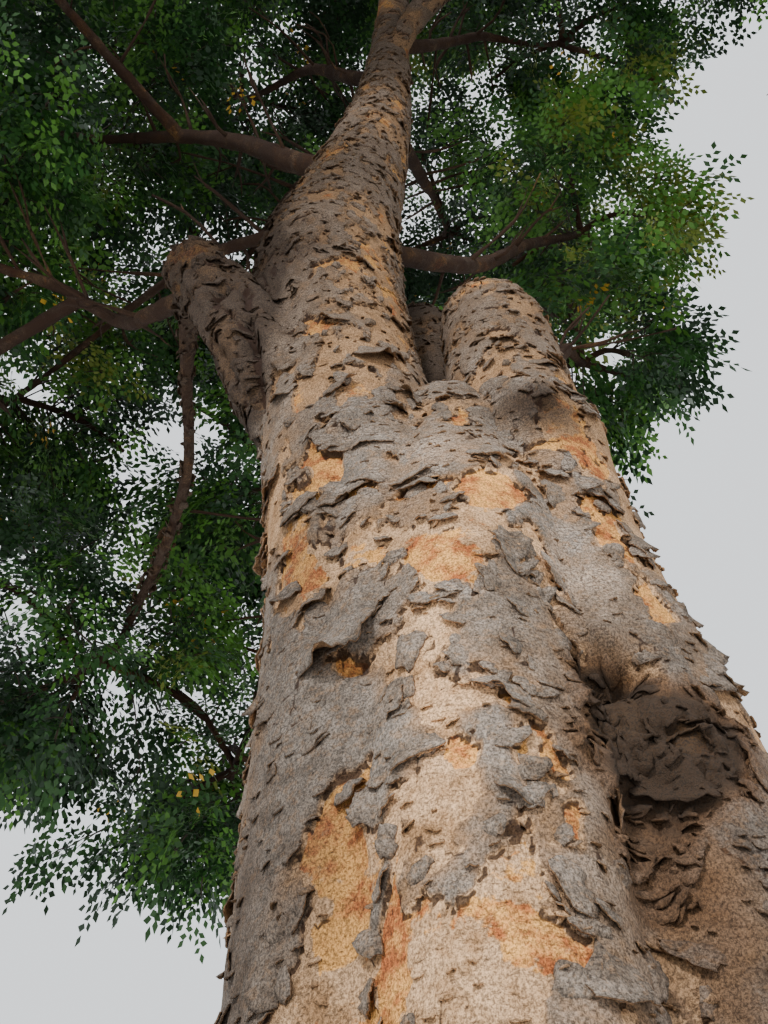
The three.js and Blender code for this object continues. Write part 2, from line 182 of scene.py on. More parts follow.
# Each mass of foliage: its name, middle, reach, the limb it is on and how far up that limb, and, where it has
# a limb of its own, the point that limb passes through and its radius
MASSES = (
    ("crown_top", (-150, 450, 11950), (1800, 1700, 1350), "leader", 1),
    ("upper_back_left", (-1600, 1300, 10550), (1600, 1450, 1200), "leader", 0.74, (-800, 700, 9500), 58),
    ("upper_left", (-2600, 900, 8850), (1650, 1450, 1200), "leader", 0.6, (-1120, 470, 7600), 72),
    ("mid_back_left", (-1550, 2050, 8750), (1300, 1300, 1000), "leader", 0.66, (-850, 900, 8000), 50),
    ("mid_left", (-2950, 2250, 7450), (1550, 1400, 1050), "leader", 0.575, (-1300, 850, 6980), 44),
    ("left", (-3000, 650, 7050), (1450, 1250, 1000), "left_bough", 0.42, (-1570, 700, 6050), 46),
    ("far_left", (-4300, 1500, 6500), (1500, 1500, 1050), "left_limb", 0.66, (-2900, 1250, 6050), 36),
    ("low_left", (-2250, 3150, 5950), (1450, 1400, 1000), "left_bough", 1),
    ("low_back_left", (-1350, 4050, 5900), (1350, 1350, 1100), "rear_bough", 0.86, (-900, 2500, 5900), 54),
    ("back_left", (-1300, 2800, 7300), (1350, 1250, 1050), "rear_bough", 1),
    ("back", (380, 3850, 8300), (1350, 1450, 1150), "right_bough", 1),
    ("back_top", (250, 2350, 10250), (1550, 1450, 1200), "leader", 0.71, (-50, 1300, 8950), 54),
    ("top_right", (1200, 850, 10650), (1250, 1300, 1100), "leader", 0.8, (250, 620, 9900), 50),
    ("right", (1100, 1600, 8850), (1000, 1100, 900), "leader", 0.53, (180, 850, 6900), 60),
    ("right_low", (920, 1800, 7450), (900, 900, 750), "right_bough", 0.78, (600, 1150, 6500), 52),
    ("far_right", (3700, 1400, 7750), (1500, 1450, 1100), "east_bough", 0.9, (2950, 850, 8800), 40),
    ("upper_right", (3750, 150, 9450), (1500, 1400, 1150), "east_bough", 1),
    ("top_east", (2300, -300, 10750), (1400, 1300, 1050), "east_bough", 0.56, (1750, 200, 10150), 40),
    ("front_right", (2600, -2000, 8250), (1650, 1550, 1150), "east_bough", 0.8, (2350, -700, 9250), 42),
    ("front", (50, -3200, 8400), (1650, 1500, 1150), "front_bough", 1),
    ("front_top", (900, -1550, 10850), (1500, 1450, 1100), "front_bough", 0.26, (250, -750, 11150), 40),
    ("upper_front_left", (-1600, -1250, 10000), (1600, 1450, 1150), "front_bough", 0.36,
     (-700, -850, 10550), 40),
    ("front_left", (-2700, -1900, 7950), (1650, 1550, 1150), "upper_left_limb", 0.82,
     (-2500, -500, 8350), 36),
)
LIMB_END = 0.72  # where a limb enters its mass, of the mass's reach
LIMB_SAG = -40
LIMB_RISE = 60
LIMB_TAPER = (1, 0.82, 0.68, 0.56, 0.46)
FIRST_SEED = 101
SEED_STEP = 7
STEM_BEND = 0.4
STEM_END = 0.9
STEM_TAPER = (0.96, 0.85)
BRANCHES = 5
BRANCH_FEET = (0.6, 0.97)
BRANCH_REACH = 0.6
BRANCH_RISE = (60, 120)
BRANCH_RADIUS = (24, 14)

# Masses that are thinner than the rest, where the photograph shows bright sky between the leaves
THINNED = {
    "right": 0.55,
    "right_low": 0.55,
    "back": 0.6,
    "back_top": 0.8,
    "top_right": 0.75,
    "top_east": 0.75,
}

# Where leaves are lighter or darker as painted light and shade: middle and reach in mm, and how much
LEAF_LIGHT_AND_SHADE = (
    ((1200, 1600, 8500), 1450, 0.6),
    ((150, 1700, 10100), 1100, -0.35),
    ((-1600, 3800, 5300), 1700, -0.4),
)

# Twigs and leaves
TWIG_ZONE = (0.35, 0.92)  # where twigs end, of the mass's reach
MASS_EDGE = 0.96  # how far out a twig may end
OVERLAP = 0.02  # how far it may go into the next mass
CLEARANCE = 0.16  # how far it keeps from a limb, in m
TUFT_STEP = 6  # one twig in so many ends at the heart of a tuft
TUFT_PULL = 0.42  # and how far the others near it are drawn to it
TWIG_SPREAD = (0.5, 0.72, 0.88)  # where side twigs leave a twig
SIDE_TWIG = (0.26, 0.46)  # how long a side twig is, of its twig
SHORTEST_TWIG = 0.1
TWIG_RADII = ((0, 7), (0.5, 5), (1, 2))  # how far along a twig, and its radius in mm
TWIG_SIDES = 3
SPURS = 9  # short side twigs on each limb
SPUR_LENGTHS = (0.3, 0.8)
SPUR_TAPER = (1, 0.7, 0.3)
LEAF_FORMS = 6
LEAFLETS = 4  # on each part of a leaf, and one at its end

# The parts of one leaf: how far up the stalk each leaves it, the way it turns in degrees and its share of the
# leaf's length
LEAF_PARTS = ((0.34, 60, 0.52), (0.55, -56, 0.54), (0.78, 46, 0.46), (0.94, -8, 0.50))

# Up to which share of the leaves each green reaches, from the deepest on; yellow leaves are scattered
GREENS = {"deep": 0.38, "green": 0.72, "bright": 0.96, "olive": 1.0, "yellow": 1.0}
YELLOW_SHARE = (0.005, 0.3)  # of the leaves, and of the leaflets on such a leaf

# Masses of foliage whose leaves are joined into one piece
LEAF_GROUPS = {
    "leaves_crown_top": ("crown_top", "top_right", "top_east"),
    "leaves_back_top": ("back_top", "back", "right"),
    "leaves_upper_left": ("upper_back_left", "upper_left", "mid_back_left"),
    "leaves_left": ("mid_left", "left", "far_left"),
    "leaves_low_left": ("low_left", "low_back_left", "back_left"),
    "leaves_right": ("far_right", "upper_right", "right_low"),
    "leaves_front_right": ("front_right", "front"),
    "leaves_front_left": ("front_top", "upper_front_left", "front_left"),
}

# How the tubes that stand for limbs are made: how many sides, and the step between their rings in m
BOUGH_TUBE = (40, 0.05)
FLARE_TUBE = (32, 0.05)
LIMB_TUBE = (16, 0.022)
STEM_TUBE = (9, 0.04)
BRANCH_TUBE = (7, 0.05)
SPUR_TUBE = (5, 0.09)

# The bark's plates: size in m, seed and how squat they are
TRUNK_PLATES = (0.13, 5, 0.52)
BOUGH_PLATES = (0.06, 6, 0.7)
LIMB_PLATES = (0.05, 7, 0.7)
SMALL_PLATES_RISE = (4.2, 5.2)  # between these heights the trunk's plates give way to the boughs'
OLD_FROM = 0.56  # the age at which bark counts as an old, raised plate
FRESH_BELOW = 0.28  # and below which it has just been bared

# Unevenness: height and size in m, seed and how many layers of detail
TRUNK_LUMPS = ((0.026, 0.36, 52, 2), (0.008, 0.06, 53, 3))
LIMB_LUMPS = ((0.016, 0.10, 91, 3), (0.008, 0.03, 94, 2))

FOOT_TOP = 1.8  # how high up the furrows between the root flares are filled further
ROUNDS_PER_NORMAL = 12  # how often the way out of the bark is worked out again while they are filled

# The pieces that the bark is cut into: name, lowest and highest point in m, and the nodes it stands for
BARK_PIECES = (
    ("trunk_foot_bark", 0.0, 0.64, "trunk"),
    ("trunk_lower_bark", 0.64, 1.9),
    ("trunk_bark", 1.9, 3.3),
    ("fork_bark", 3.3, 4.5),
    ("lower_boughs_bark", 4.5, 5.5, "right_bough", "rear_bough"),
    ("upper_boughs_bark", 5.5, 6.7, "left_bough"),
    ("leader_bark", 6.7, 9.0, "leader"),
    ("top_boughs_bark", 9.0, 99.0, "east_bough", "front_bough"),
)
SCALE_PIECES = (
    ("trunk_foot_scales", 0.0, 1.6),
    ("trunk_lower_scales", 1.6, 2.9),
    ("trunk_scales", 2.9, 4.5),
    ("lower_bough_scales", 4.5, 5.3),
    ("middle_bough_scales", 5.3, 6.2),
    ("upper_bough_scales", 6.2, 99.0),
)
BOUGHS_FROM = 4.5  # the height at which the boughs begin

# Kinds of lifted scale: spacing, share kept, width and lift in m, rows and columns of the mesh, and where it
# lies: at the edge of an old plate, anywhere, or on the black crust
SCALE_KINDS = (
    (0.180, 0.55, (0.065, 0.140), (0.009, 0.026), 5, 11, "edge"),
    (0.066, 0.55, (0.026, 0.078), (0.003, 0.011), 4, 8, "edge"),
    (0.036, 0.17, (0.011, 0.032), (0.002, 0.007), 3, 5, "anywhere"),
    (0.028, 0.60, (0.014, 0.050), (0.004, 0.014), 3, 6, "crust"),
)
SCALE_DEPTH = (0.4, 0.75)  # how far a scale reaches along the bark, of its width
SCALE_THICKNESS = (0.002, 0.0045)
ROOT_DEPTH = 0.006  # how deep a scale's fixed edge lies in the bark, in m
SCALE_AGE = 0.8  # the age that a scale at a plate's edge shows
PLATE_AGE = 0.85  # and that of a large lifted plate
PLATE_GRID = (7, 14)  # the rows and columns of its mesh
RAGGED = 0.25  # how ragged a scale's free edge is at most, of its depth
BOUGH_SCALE = 0.62  # how large a scale is on the boughs, of its size on the trunk
BOUGH_LIFT = 0.78  # how far it lifts
BOUGH_SPACING = 0.86  # and its spacing
SCALES_RISE = (0.12, 8.6)  # from which height up to which scales show

# Where the bark has mostly stayed on: middle, reach sideways and upright in mm, and its age there, from 0,
# newly bared, to 1, an old plate
LAYOUT = (
    ((-840, -10, 4880), (260, 420), 0.95),
    ((-110, 260, 4800), (150, 520), 0.95),
    ((-140, 480, 5400), (200, 400), 0.95),
    ((-210, -270, 3700), (130, 90), 0.95),
    ((-250, -300, 3460), (90, 70), 0.95),
    ((-390, -220, 3700), (60, 230), 0.9),
    ((150, -140, 4180), (120, 60), 0.95),
    ((190, -270, 3130), (110, 110), 0.9),
    ((300, -220, 3120), (90, 170), 0.9),
    ((-440, -260, 2900), (110, 240), 1.0),
    ((-560, -150, 2500), (90, 260), 1.0),
    ((0, -435, 2500), (60, 100), 0.9),
    ((250, -340, 2430), (130, 200), 0.9),
    ((340, -280, 2720), (70, 110), 0.9),
)
LAYOUT_HOLD = 0.5  # how far the layout sets the age
PATCH_HOLD = 0.94  # and how far a patch does
OLD_FADE = (2.9, 0.5)  # where older bark fades in at a patch's edge, squared, in shares of its reach
FRESH_FADE = (2.0, 1.2)  # and where newly bared bark does
PATCH_BEND = 0.13  # how far their outlines bend, in m
PATCH_END = 9  # how far from its middle a patch is felt, squared, in shares of its reach

# Patches that have been bared or have stayed on, in the same terms
PATCHES = (
    ((-235, -390, 2790), (52, 210), 0.46),
    ((-340, -280, 3150), (70, 120), 0.85),
    ((-430, -275, 2840), (60, 110), 0.85),
    ((-300, -210, 3880), (130, 70), 0.8),
    ((-90, -226, 3860), (110, 70), 0.75),
    ((-80, -368, 3090), (45, 150), 0.8),
    ((-20, -410, 2700), (50, 160), 0.75),
    ((-140, -440, 2640), (26, 110), 0.85),
    ((-580, -130, 2620), (60, 170), 0.8),
    ((-342, -374, 2430), (22, 80), 0.9),
    ((180, -255, 3250), (110, 110), 0.75),
    ((20, -430, 2330), (80, 120), 0.72),
    ((-225, -375, 2960), (48, 190), 0.46),
    ((-260, -421, 2560), (60, 100), 0.46),
    ((-80, -300, 3570), (80, 90), 0.1),
    ((110, -199, 3876), (60, 45), 0.1),
    ((225, -160, 3860), (45, 90), 0.15),
    ((205, -225, 3500), (45, 120), 0.15),
    ((254, -245, 3240), (35, 80), 0.2),
    ((-510, -183, 3800), (42, 150), 0.15),
    ((-505, -195, 3380), (45, 80), 0.15),
    ((-200, -348, 3230), (55, 40), 0.15),
    ((-201, -423, 2670), (32, 35), 0.1),
    ((-50, -428, 2600), (18, 120), 0.15),
    ((-418, -290, 2590), (38, 120), 0.2),
    ((-391, -302, 2416), (50, 60), 0.2),
    ((-150, -470, 2300), (95, 60), 0.2),
    ((-396, -231, 3636), (45, 22), 0.1),
    ((-249, -287, 3575), (45, 18), 0.1),
    ((-576, -109, 4620), (60, 50), 0.15),
    ((-530, -82, 5115), (60, 40), 0.15),
    ((-548, -155, 3480), (45, 130), 0.24),
    ((-388, -280, 3018), (50, 34), 0.14),
    ((-844, 5, 4683), (60, 110), 0.44),
    ((-205, -470, 2190), (80, 60), 0.44),
    ((-240, -455, 2240), (60, 60), 0.44),
)

# Swellings and hollows: middle, reach and height in mm; a hollow also gets painted shade
LUMPS = (
    ((112, -285, 3070), 42, 40),
    ((70, -290, 3130), 34, 22),
    ((140, -285, 2965), 46, -85),
    ((75, -310, 2930), 34, -40),
    ((-380, -272, 3005), 40, -20),
    ((216, -303, 2850), 90, 12),
    ((160, -320, 2762), 55, 12),
    ((240, -300, 2765), 50, 12),
    ((185, -310, 2800), 36, -30),
    ((130, -335, 2660), 70, -34),
    ((215, -325, 2650), 60, -28),
    ((95, -150, 4130), 100, 34),
    ((230, -60, 4120), 90, 24),
    ((-640, 40, 5560), 140, 40),
    ((-1085, 60, 5470), 110, 40),
    ((-1180, 150, 5560), 80, 36),
)

# Rough, knotty bark: middle, and reach sideways and upright in mm
BURLS = (
    ((145, -140, 4190), (120, 65)),
    ((-640, -20, 5350), (110, 130)),
    ((-1000, 20, 5250), (150, 190)),
    ((-780, -10, 4640), (140, 260)),
    ((-1100, 70, 5430), (130, 130)),
    ((100, -180, 4045), (95, 80)),
    ((100, -180, 4045), (60, 50)),
)

# Bark in long ridges on the left bough: middle, reach sideways and upright in mm, and the way they run
RIDGED = ((-880, 0, 4950), (300, 520))
RIDGE_WAY = np.array([-0.43, 0.04, 0.9])
RIDGE_HEIGHT = 0.07  # in m
FURROW_DEPTH = 0.012

# Creases where two stems have grown together: both ends, width and depth in mm
CREASES = (
    ((-110, -318, 3450), (15, -330, 3150), 13, 14),
    ((15, -330, 3150), (80, -300, 2940), 16, 34),
    ((-440, -212, 3900), (-470, -232, 3150), 42, 22),
    ((120, -330, 2560), (95, -385, 2050), 85, 30),
    ((-330, -330, 2500), (-370, -400, 1700), 70, 22),
    ((150, -330, 2670), (138, -330, 2550), 8, 9),
    ((192, -333, 2640), (150, -333, 2460), 8, 8),
    ((105, -318, 2640), (96, -330, 2500), 8, 7),
    ((-822, -42, 5010), (-790, -62, 4780), 26, 26),
    ((-790, -62, 4780), (-762, -60, 4600), 26, 30),
    ((-762, -60, 4600), (-739, -18, 4436), 26, 30),
    ((-739, -18, 4436), (-720, 48, 4300), 24, 20),
    ((-878, -42, 5052), (-940, -22, 4990), 28, 30),
    ((-935, -20, 4985), (-880, -30, 4780), 16, 16),
)

# A crease narrower than this gets painted shade along it
DARK_CREASE = 30  # a crease narrower than this is dark

# The black crust at the hollow and the brown run below it: middle, reach sideways and upright, and strength
STAINS = (
    ((200, -303, 2835), (110, 66), 1.6),
    ((110, -300, 2950), (60, 40), 1.3),
    ((170, -330, 2715), (110, 48), 1.3),
    ((130, -335, 2570), (80, 120), 0.5),
    ((150, -350, 2350), (130, 220), 0.3),
)

# Where the bark is darker and browner: middle, reach sideways and upright in mm, and how much
# Partly the bark's own colour, partly painted shade; a negative amount is painted light
DULLED_SHADED_AND_LIT = (
    ((-590, -135, 2520), (80, 420), 0.62),
    ((-430, -300, 2700), (90, 240), 0.26),
    ((-545, -165, 3560), (70, 380), 0.3),
    ((-470, -262, 2560), (60, 200), 0.3),
    ((-850, -10, 4850), (230, 420), 0.5),
    ((-520, -180, 3800), (70, 260), 0.12),
    ((240, -250, 3130), (130, 200), 0.05),
    ((100, -180, 4040), (90, 72), 1.1),
    ((-660, -20, 5320), (120, 120), 0.4),
    ((-850, -5, 4660), (70, 130), -0.35),
    ((-125, 300, 4800), (100, 350), 0.75),
    ((290, -320, 2350), (170, 300), 0.42),
    ((100, -285, 3060), (60, 60), 0.35),
    ((-215, -385, 2900), (90, 420), -0.6),
    ((-190, -465, 2280), (150, 150), -0.2),
    ((60, -260, 3560), (150, 130), -0.35),
    ((110, -262, 3300), (110, 130), -0.7),
    ((-240, -230, 3780), (200, 130), -0.65),
)

# Large plates that have lifted clear of the trunk: the middle of the free edge, width, depth and lift in mm,
# and how many degrees the plate is turned from hanging straight down
LIFTED_PLATES = (
    ((-409, -259, 3060), 200, 150, 76, 36),
    ((-312, -181, 4050), 74, 50, 26, -29),
    ((-84, -272, 3697), 99, 60, 24, 11),
    ((89, -216, 3696), 84, 60, 24, -23),
    ((-80, -344, 3257), 170, 50, 16, -74),
    ((-259, -343, 3114), 66, 42, 13, -39),
    ((-199, -363, 3127), 68, 42, 13, -20),
    ((-76, -369, 3074), 70, 42, 13, -66),
    ((-100, -392, 2948), 64, 40, 14, -66),
    ((-105, -414, 2797), 90, 46, 18, -48),
    ((-308, -350, 2821), 44, 34, 13, 36),
    ((-368, -208, 3848), 124, 60, 15, 6),
    ((-418, -226, 3634), 92, 60, 20, 16),
    ((-254, -269, 3580), 118, 60, 22, -17),
    ((-125, -444, 2566), 95, 48, 22, -43),
    ((-386, -303, 2669), 72, 46, 18, 35),
    ((-636, -77, 4273), 120, 60, 24, -25),
    ((-361, -131, 4382), 150, 90, 34, 20),
    ((-502, -120, 4638), 110, 60, 22, -30),
    ((40, -321, 2977), 110, 44, 16, -70),
    ((-333, -379, 2448), 60, 34, 12, 60),
    ((-9, -446, 2350), 54, 36, 12, -50),
    ((-562, -135, 3341), 110, 60, 20, -30),
    ((-495, -58, 5253), 80, 50, 18, -7),
    ((-714, -39, 4954), 90, 50, 18, -2),
    ((224, -205, 3616), 100, 60, 18, -20),
    ((185, -328, 2668), 165, 80, 30, -6),
    ((95, -315, 2700), 80, 60, 22, 8),
)


def linear(code):
    """The linear colour of an sRGB hex code."""
    shares = [int(code[i:i + 2], 16) / 255 for i in (0, 2, 4)]
    return tuple(c / 12.92 if c <= 0.04045 else ((c + 0.055) / 1.055) ** 2.4 for c in shares)


def opaque(colour):
    return (*colour, 1.0)


def ease(low, high, value):
    """0 below low, 1 above high, and a smooth step between them."""
    share = np.clip((value - low) / (high - low), 0, 1)
    return share * share * (3 - 2 * share)


def unit(vectors):
    return vectors / np.maximum(np.linalg.norm(vectors, axis=-1, keepdims=True), 1e-9)


def flat_to(vectors, normals):
    """The ways that the vectors point once they are laid against a surface that faces along the normals."""
    return unit(vectors - normals * (vectors * normals).sum(axis=1, keepdims=True))


def apart(points, middle, reach):
    """How far points are from a middle, squared, in shares of a reach sideways and upright in mm."""
    wide, tall = reach
    return (((points - np.array(middle) * MM) / (wide * MM, wide * MM, tall * MM)) ** 2).sum(axis=1)


def pooled(points, rows):
    """What the amounts in the rows come to at each point, each fading out from its middle."""
    return sum(amount * np.exp(-apart(points, middle, reach) / 2) for middle, reach, amount in rows)


# Patterns in space, as plain sums on a lattice, so that every run gives the same tree

def scatter(corner, seed):
    """A number from 0 to 1 for each whole-number corner of the lattice."""
    x, y, z = (corner[..., k].astype(np.int64).astype(np.uint32) for k in range(3))
    mixed = x * np.uint32(374761393) + y * np.uint32(668265263) + z * np.uint32(2246822519)
    mixed = mixed + np.uint32((seed * 3266489917) % 2**32)
    mixed = (mixed ^ (mixed >> np.uint32(13))) * np.uint32(1274126177)
    mixed = (mixed ^ (mixed >> np.uint32(15))) * np.uint32(2246822519)
    return ((mixed ^ (mixed >> np.uint32(16))) / 2**32).astype(np.float32)


def drift(points, size, seed):
    """Smooth noise from 0 to 1 that changes over about size."""
    place = (points / size).astype(np.float32)
    corner = np.floor(place)
    share = place - corner
    share = share * share * (3 - 2 * share)
    total = np.zeros(len(points), np.float32)
    for step in np.ndindex(2, 2, 2):
        weight = np.prod(np.where(step, share, 1 - share), axis=1)
        total += weight * scatter(corner + step, seed)
    return total


def cloud(points, size, seed, octaves=4):
    """Noise with finer and finer detail, from about 0 to 1."""
    total, weight = 0, 0
    for k in range(octaves):
        total = total + drift(points, size / 2**k, seed + 17 * k) / 2**k
        weight += 1 / 2**k
    return total / weight


def bend(points, size, seed, octaves=2):
    """A push for each point, of up to about a half each way, that bends a pattern out of true."""
    return np.stack([cloud(points, size, seed + k, octaves) for k in range(3)], axis=-1) - 0.5


def lumps(points, rows):
    """How far an uneven surface stands out, from rows of height, size, seed and layers of detail."""
    return sum(height * (cloud(points, size, seed, octaves) - 0.5) for height, size, seed, octaves in rows)


def cells(points, size, seed):
    """For each point, the number of its nearest cell and the gap to that cell's edge, in cells."""
    place = (points / size).astype(np.float32)
    corner = np.floor(place)
    nearest = np.full(len(points), 9, np.float32)
    second = nearest.copy()
    number = np.zeros(len(points), np.float32)
    for step in np.ndindex(3, 3, 3):
        cell = corner + np.array(step) - 1
        middle = cell + np.stack([scatter(cell, seed + k) for k in range(3)], axis=-1)
        gap = np.linalg.norm(middle - place, axis=1).astype(np.float32)
        closer = gap < nearest
        second = np.where(closer, nearest, np.minimum(second, gap))
        number = np.where(closer, scatter(cell, seed + 3), number)
        nearest = np.where(closer, gap, nearest)
    return number, second - nearest


# Limbs, in metres

def smooth_line(points, per_span=40):
    """The points, first to last, joined by a uniform Catmull-Rom curve."""
    points = np.asarray(points, float)
    padded = np.vstack([2 * points[0] - points[1], points, 2 * points[-1] - points[-2]])
    t = np.linspace(0, 1, per_span, endpoint=False)[:, None]
    spans = []
    for before, start, end, after in zip(padded, padded[1:], padded[2:], padded[3:]):
        leave, arrive = (end - before) / 2, (after - start) / 2
        spans.append((2 * start - 2 * end + leave + arrive) * t**3
                     + (3 * end - 3 * start - 2 * leave - arrive) * t**2 + leave * t + start)
    return np.vstack([*spans, points[-1:]])


class Limb:
    """A smooth line with a radius that changes along it, from points of x, y, z and radius in mm."""

    def __init__(self, points):
        line = smooth_line(points) * MM
        steps = np.linalg.norm(np.diff(line[:, :3], axis=0), axis=1)
        self.length = steps.sum()
        self.share = np.concatenate([[0], np.cumsum(steps)]) / self.length
        self.line = line

    def at(self, shares):
        """x, y, z and radius at each share of the length."""
        return np.stack([np.interp(shares, self.share, self.line[:, k]) for k in range(4)], axis=-1)

    def heading(self, share):
        ahead, behind = self.at(min(share + 0.01, 1)), self.at(max(share - 0.01, 0))
        return unit((ahead - behind)[:3])


def limb_through(places, radii):
    return Limb([(*place, radius) for place, radius in zip(places, radii)])


def tube(limb, sides, step):
    """Vertices and faces of a closed tube round a limb, with a ring at about every step."""
    count = max(int(limb.length / step), 3)
    rings = limb.at(np.linspace(0, 1, count + 1))
    along = unit(np.gradient(rings[:, :3], axis=0))
    side = np.array([1.0, 0.0, 0.0]) if abs(along[0, 0]) < 0.9 else np.array([0.0, 1.0, 0.0])
    turns = np.arange(sides) * 2 * math.pi / sides
    vertices = []
    for (x, y, z, radius), ahead in zip(rings, along):
        side = unit(side - ahead * side.dot(ahead))
        up = np.cross(ahead, side)
        ring = np.cos(turns)[:, None] * side + np.sin(turns)[:, None] * up
        vertices.append((x, y, z) + ring * radius)
    vertices = np.vstack([*vertices, rings[:1, :3], rings[-1:, :3]])
    low = np.arange(count * sides)
    wrap = np.where(low % sides == sides - 1, low + 1 - sides, low + 1)
    walls = np.stack([low, wrap, wrap + sides, low + sides], axis=1)
    ring = np.arange(sides)
    onward = (ring + 1) % sides
    foot, tip = (count + 1) * sides, (count + 1) * sides + 1
    last = count * sides
    ends = np.vstack([
        np.stack([onward, ring, np.full(sides, foot), np.full(sides, foot)], axis=1),
        np.stack([ring + last, onward + last, np.full(sides, tip), np.full(sides, tip)], axis=1),
    ])
    return vertices, np.vstack([walls, ends])


def join(parts):
    """One array of vertices and one of faces from several pairs."""
    vertices, faces, start = [], [], 0
    for points, corners in parts:
        vertices.append(points)
        faces.append(corners + start)
        start += len(points)
    return np.vstack(vertices), np.vstack(faces)


def add_mesh(name, vertices, faces, fields=None, normals=None, kinds=None):
    """A mesh object from arrays. A face whose last two corners are the same is a triangle."""
    faces = np.asarray(faces)
    corners = faces.shape[1]
    if corners == 4:
        three = faces[:, 2] == faces[:, 3]
        counts = np.where(three, 3, 4)
        keep = np.ones(faces.shape, bool)
        keep[three, 3] = False
        loops = faces[keep]
    else:
        counts = np.full(len(faces), corners)
        loops = faces.ravel()
    mesh = bpy.data.meshes.new(name)
    mesh.vertices.add(len(vertices))
    mesh.vertices.foreach_set("co", np.asarray(vertices, np.float32).ravel())
    mesh.loops.add(len(loops))
    mesh.loops.foreach_set("vertex_index", loops.astype(np.int32))
    mesh.polygons.add(len(counts))
    mesh.polygons.foreach_set("loop_start", np.concatenate([[0], np.cumsum(counts)[:-1]]).astype(np.int32))
    mesh.polygons.foreach_set("loop_total", counts.astype(np.int32))
    mesh.polygons.foreach_set("use_smooth", np.ones(len(counts), bool))
    if kinds is not None:
        mesh.polygons.foreach_set("material_index", kinds.astype(np.int32))
    for field, values in (fields or {}).items():
        layer = mesh.attributes.new(field, "FLOAT", "POINT")
        layer.data.foreach_set("value", np.asarray(values, np.float32))
    mesh.update(calc_edges=True)
    if normals is not None:
        mesh.normals_split_custom_set_from_vertices(np.asarray(normals, np.float32))
    made = bpy.data.objects.new(name, mesh)
    bpy.context.scene.collection.objects.link(made)
    return made


def subset(chosen, vertices, faces, *others):
    """The chosen faces with only the vertices that they use, and the same rows of the other arrays."""
    faces = faces[chosen]
    used, places = np.unique(faces, return_inverse=True)
    return vertices[used], places.reshape(faces.shape), *(other[used] for other in others)


def dress(piece, slot, materials, *nodes):
    """Gives a piece its materials and body, and hides the nodes it stands for. The slot is not used."""
    for material in materials:
        piece.data.materials.append(material)
    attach(piece, "root")
    if nodes:
        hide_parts(*nodes)


# The tree's limbs and masses, by the rule that its solids follow

def root_flare(degrees):
    """A root flare that leaves the trunk the way given, in degrees from the x axis."""
    turn = math.radians(degrees)
    profile = (
        (FLARE_REACH * 0.36, FLARE_HEIGHT, FLARE_RADIUS[0]),
        (FLARE_REACH * 0.52, FLARE_HEIGHT * 0.5, FLARE_RADIUS[0]),
        (FLARE_REACH * 0.78, FLARE_HEIGHT * 0.12, FLARE_RADIUS[0] * 0.4 + FLARE_RADIUS[1] * 0.6),
        (FLARE_REACH * 1.1, -FLARE_HEIGHT * 0.2, FLARE_RADIUS[1]),
    )
    way = np.array([math.cos(turn), math.sin(turn)])
    return Limb([(*(way * reach), z, radius) for reach, z, radius in profile])


def seeded(seed):
    """A generator of numbers from 0 to 1 that the solids use too."""
    state = seed
    while True:
        state = (state * 1664525 + 1013904223) % 2**32
        yield state / 2**32


class Mass:
    """A mass of foliage: where it is, the stem that enters it and the branches that fan out from there."""

    def __init__(self, index, limbs, name, middle, reach, on, at, via=None, radius=0):
        self.name = name
        self.middle = np.array(middle, float)
        self.reach = np.array(reach, float)
        self.limb = on
        if via:
            self.limb = f"{name}_limb"
            limbs[self.limb] = self.own_limb(limbs[on], at, np.array(via, float), radius)
        self.stem = self.own_stem(limbs[self.limb])
        draw = seeded(FIRST_SEED + index * SEED_STEP)
        self.turn = next(draw) * math.tau
        self.branches = [self.branch(k, draw) for k in range(BRANCHES)]

    def share(self, points):
        """How far out points in metres lie: 0 in the middle and 1 at the edge."""
        return np.linalg.norm((points / MM - self.middle) / self.reach, axis=-1)

    def own_limb(self, parent, at, via, radius):
        foot = parent.at(at)[:3] / MM
        tip = via + (self.middle - via) * (1 - LIMB_END / self.share(via * MM))
        low = (foot + via) / 2 + UP * LIMB_SAG
        high = (via + tip) / 2 + UP * LIMB_RISE
        return limb_through((foot, low, via, high, tip), [share * radius for share in LIMB_TAPER])

    def own_stem(self, carrier):
        end = carrier.at(1.0)
        start, radius = end[:3] / MM, end[3] / MM
        curve = start + carrier.heading(1.0) * np.linalg.norm(self.middle - start) * STEM_BEND
        heart = start + (self.middle - start) * STEM_END
        radii = (radius * STEM_TAPER[0], radius * STEM_TAPER[1], BRANCH_RADIUS[0] * 1.1)
        return limb_through((start, curve, heart), radii)

    def branch(self, index, draw):
        foot = self.stem.at(np.interp((index * 3) % BRANCHES / BRANCHES, (0, 1), BRANCH_FEET))[:3] / MM
        height = 1 - 2 * (index + 0.5) / BRANCHES
        wide = math.sqrt(1 - height * height)
        angle = index * GOLDEN_TURN + self.turn
        way = np.array([wide * math.cos(angle), wide * math.sin(angle), height])
        end = self.middle + way * self.reach * BRANCH_REACH
        arch = foot + (end - foot) * 0.55 + UP * np.interp(next(draw), (0, 1), BRANCH_RISE)
        radii = (BRANCH_RADIUS[0], sum(BRANCH_RADIUS) / 2, BRANCH_RADIUS[1])
        return limb_through((foot, arch, end), radii)


def grow_tree():
    """Every limb by name, and every mass."""
    limbs = {name: Limb(points) for name, points in {**STEMS, **BOUGHS}.items()}
    masses = [Mass(index, limbs, *row) for index, row in enumerate(MASSES)]
    return limbs, masses


# Bark

def plate_age(points, size, seed, squat):
    """How old the outer bark is, in jagged, lobed plates of about a size, and the gap to a crack."""
    tall = points * (1, 1, squat)
    sway = bend(tall, size * 0.8, seed + 31, 4)
    number, edge = cells(tall + sway * size * 1.7, size, seed)
    broad = cloud(tall, size * 3.2, seed + 40, 3)
    torn = cloud(points, 0.034, seed + 50, 3)
    return 0.54 + 0.60 * (number - 0.5) + 1.4 * (broad - 0.5) + 0.22 * (torn - 0.5), edge


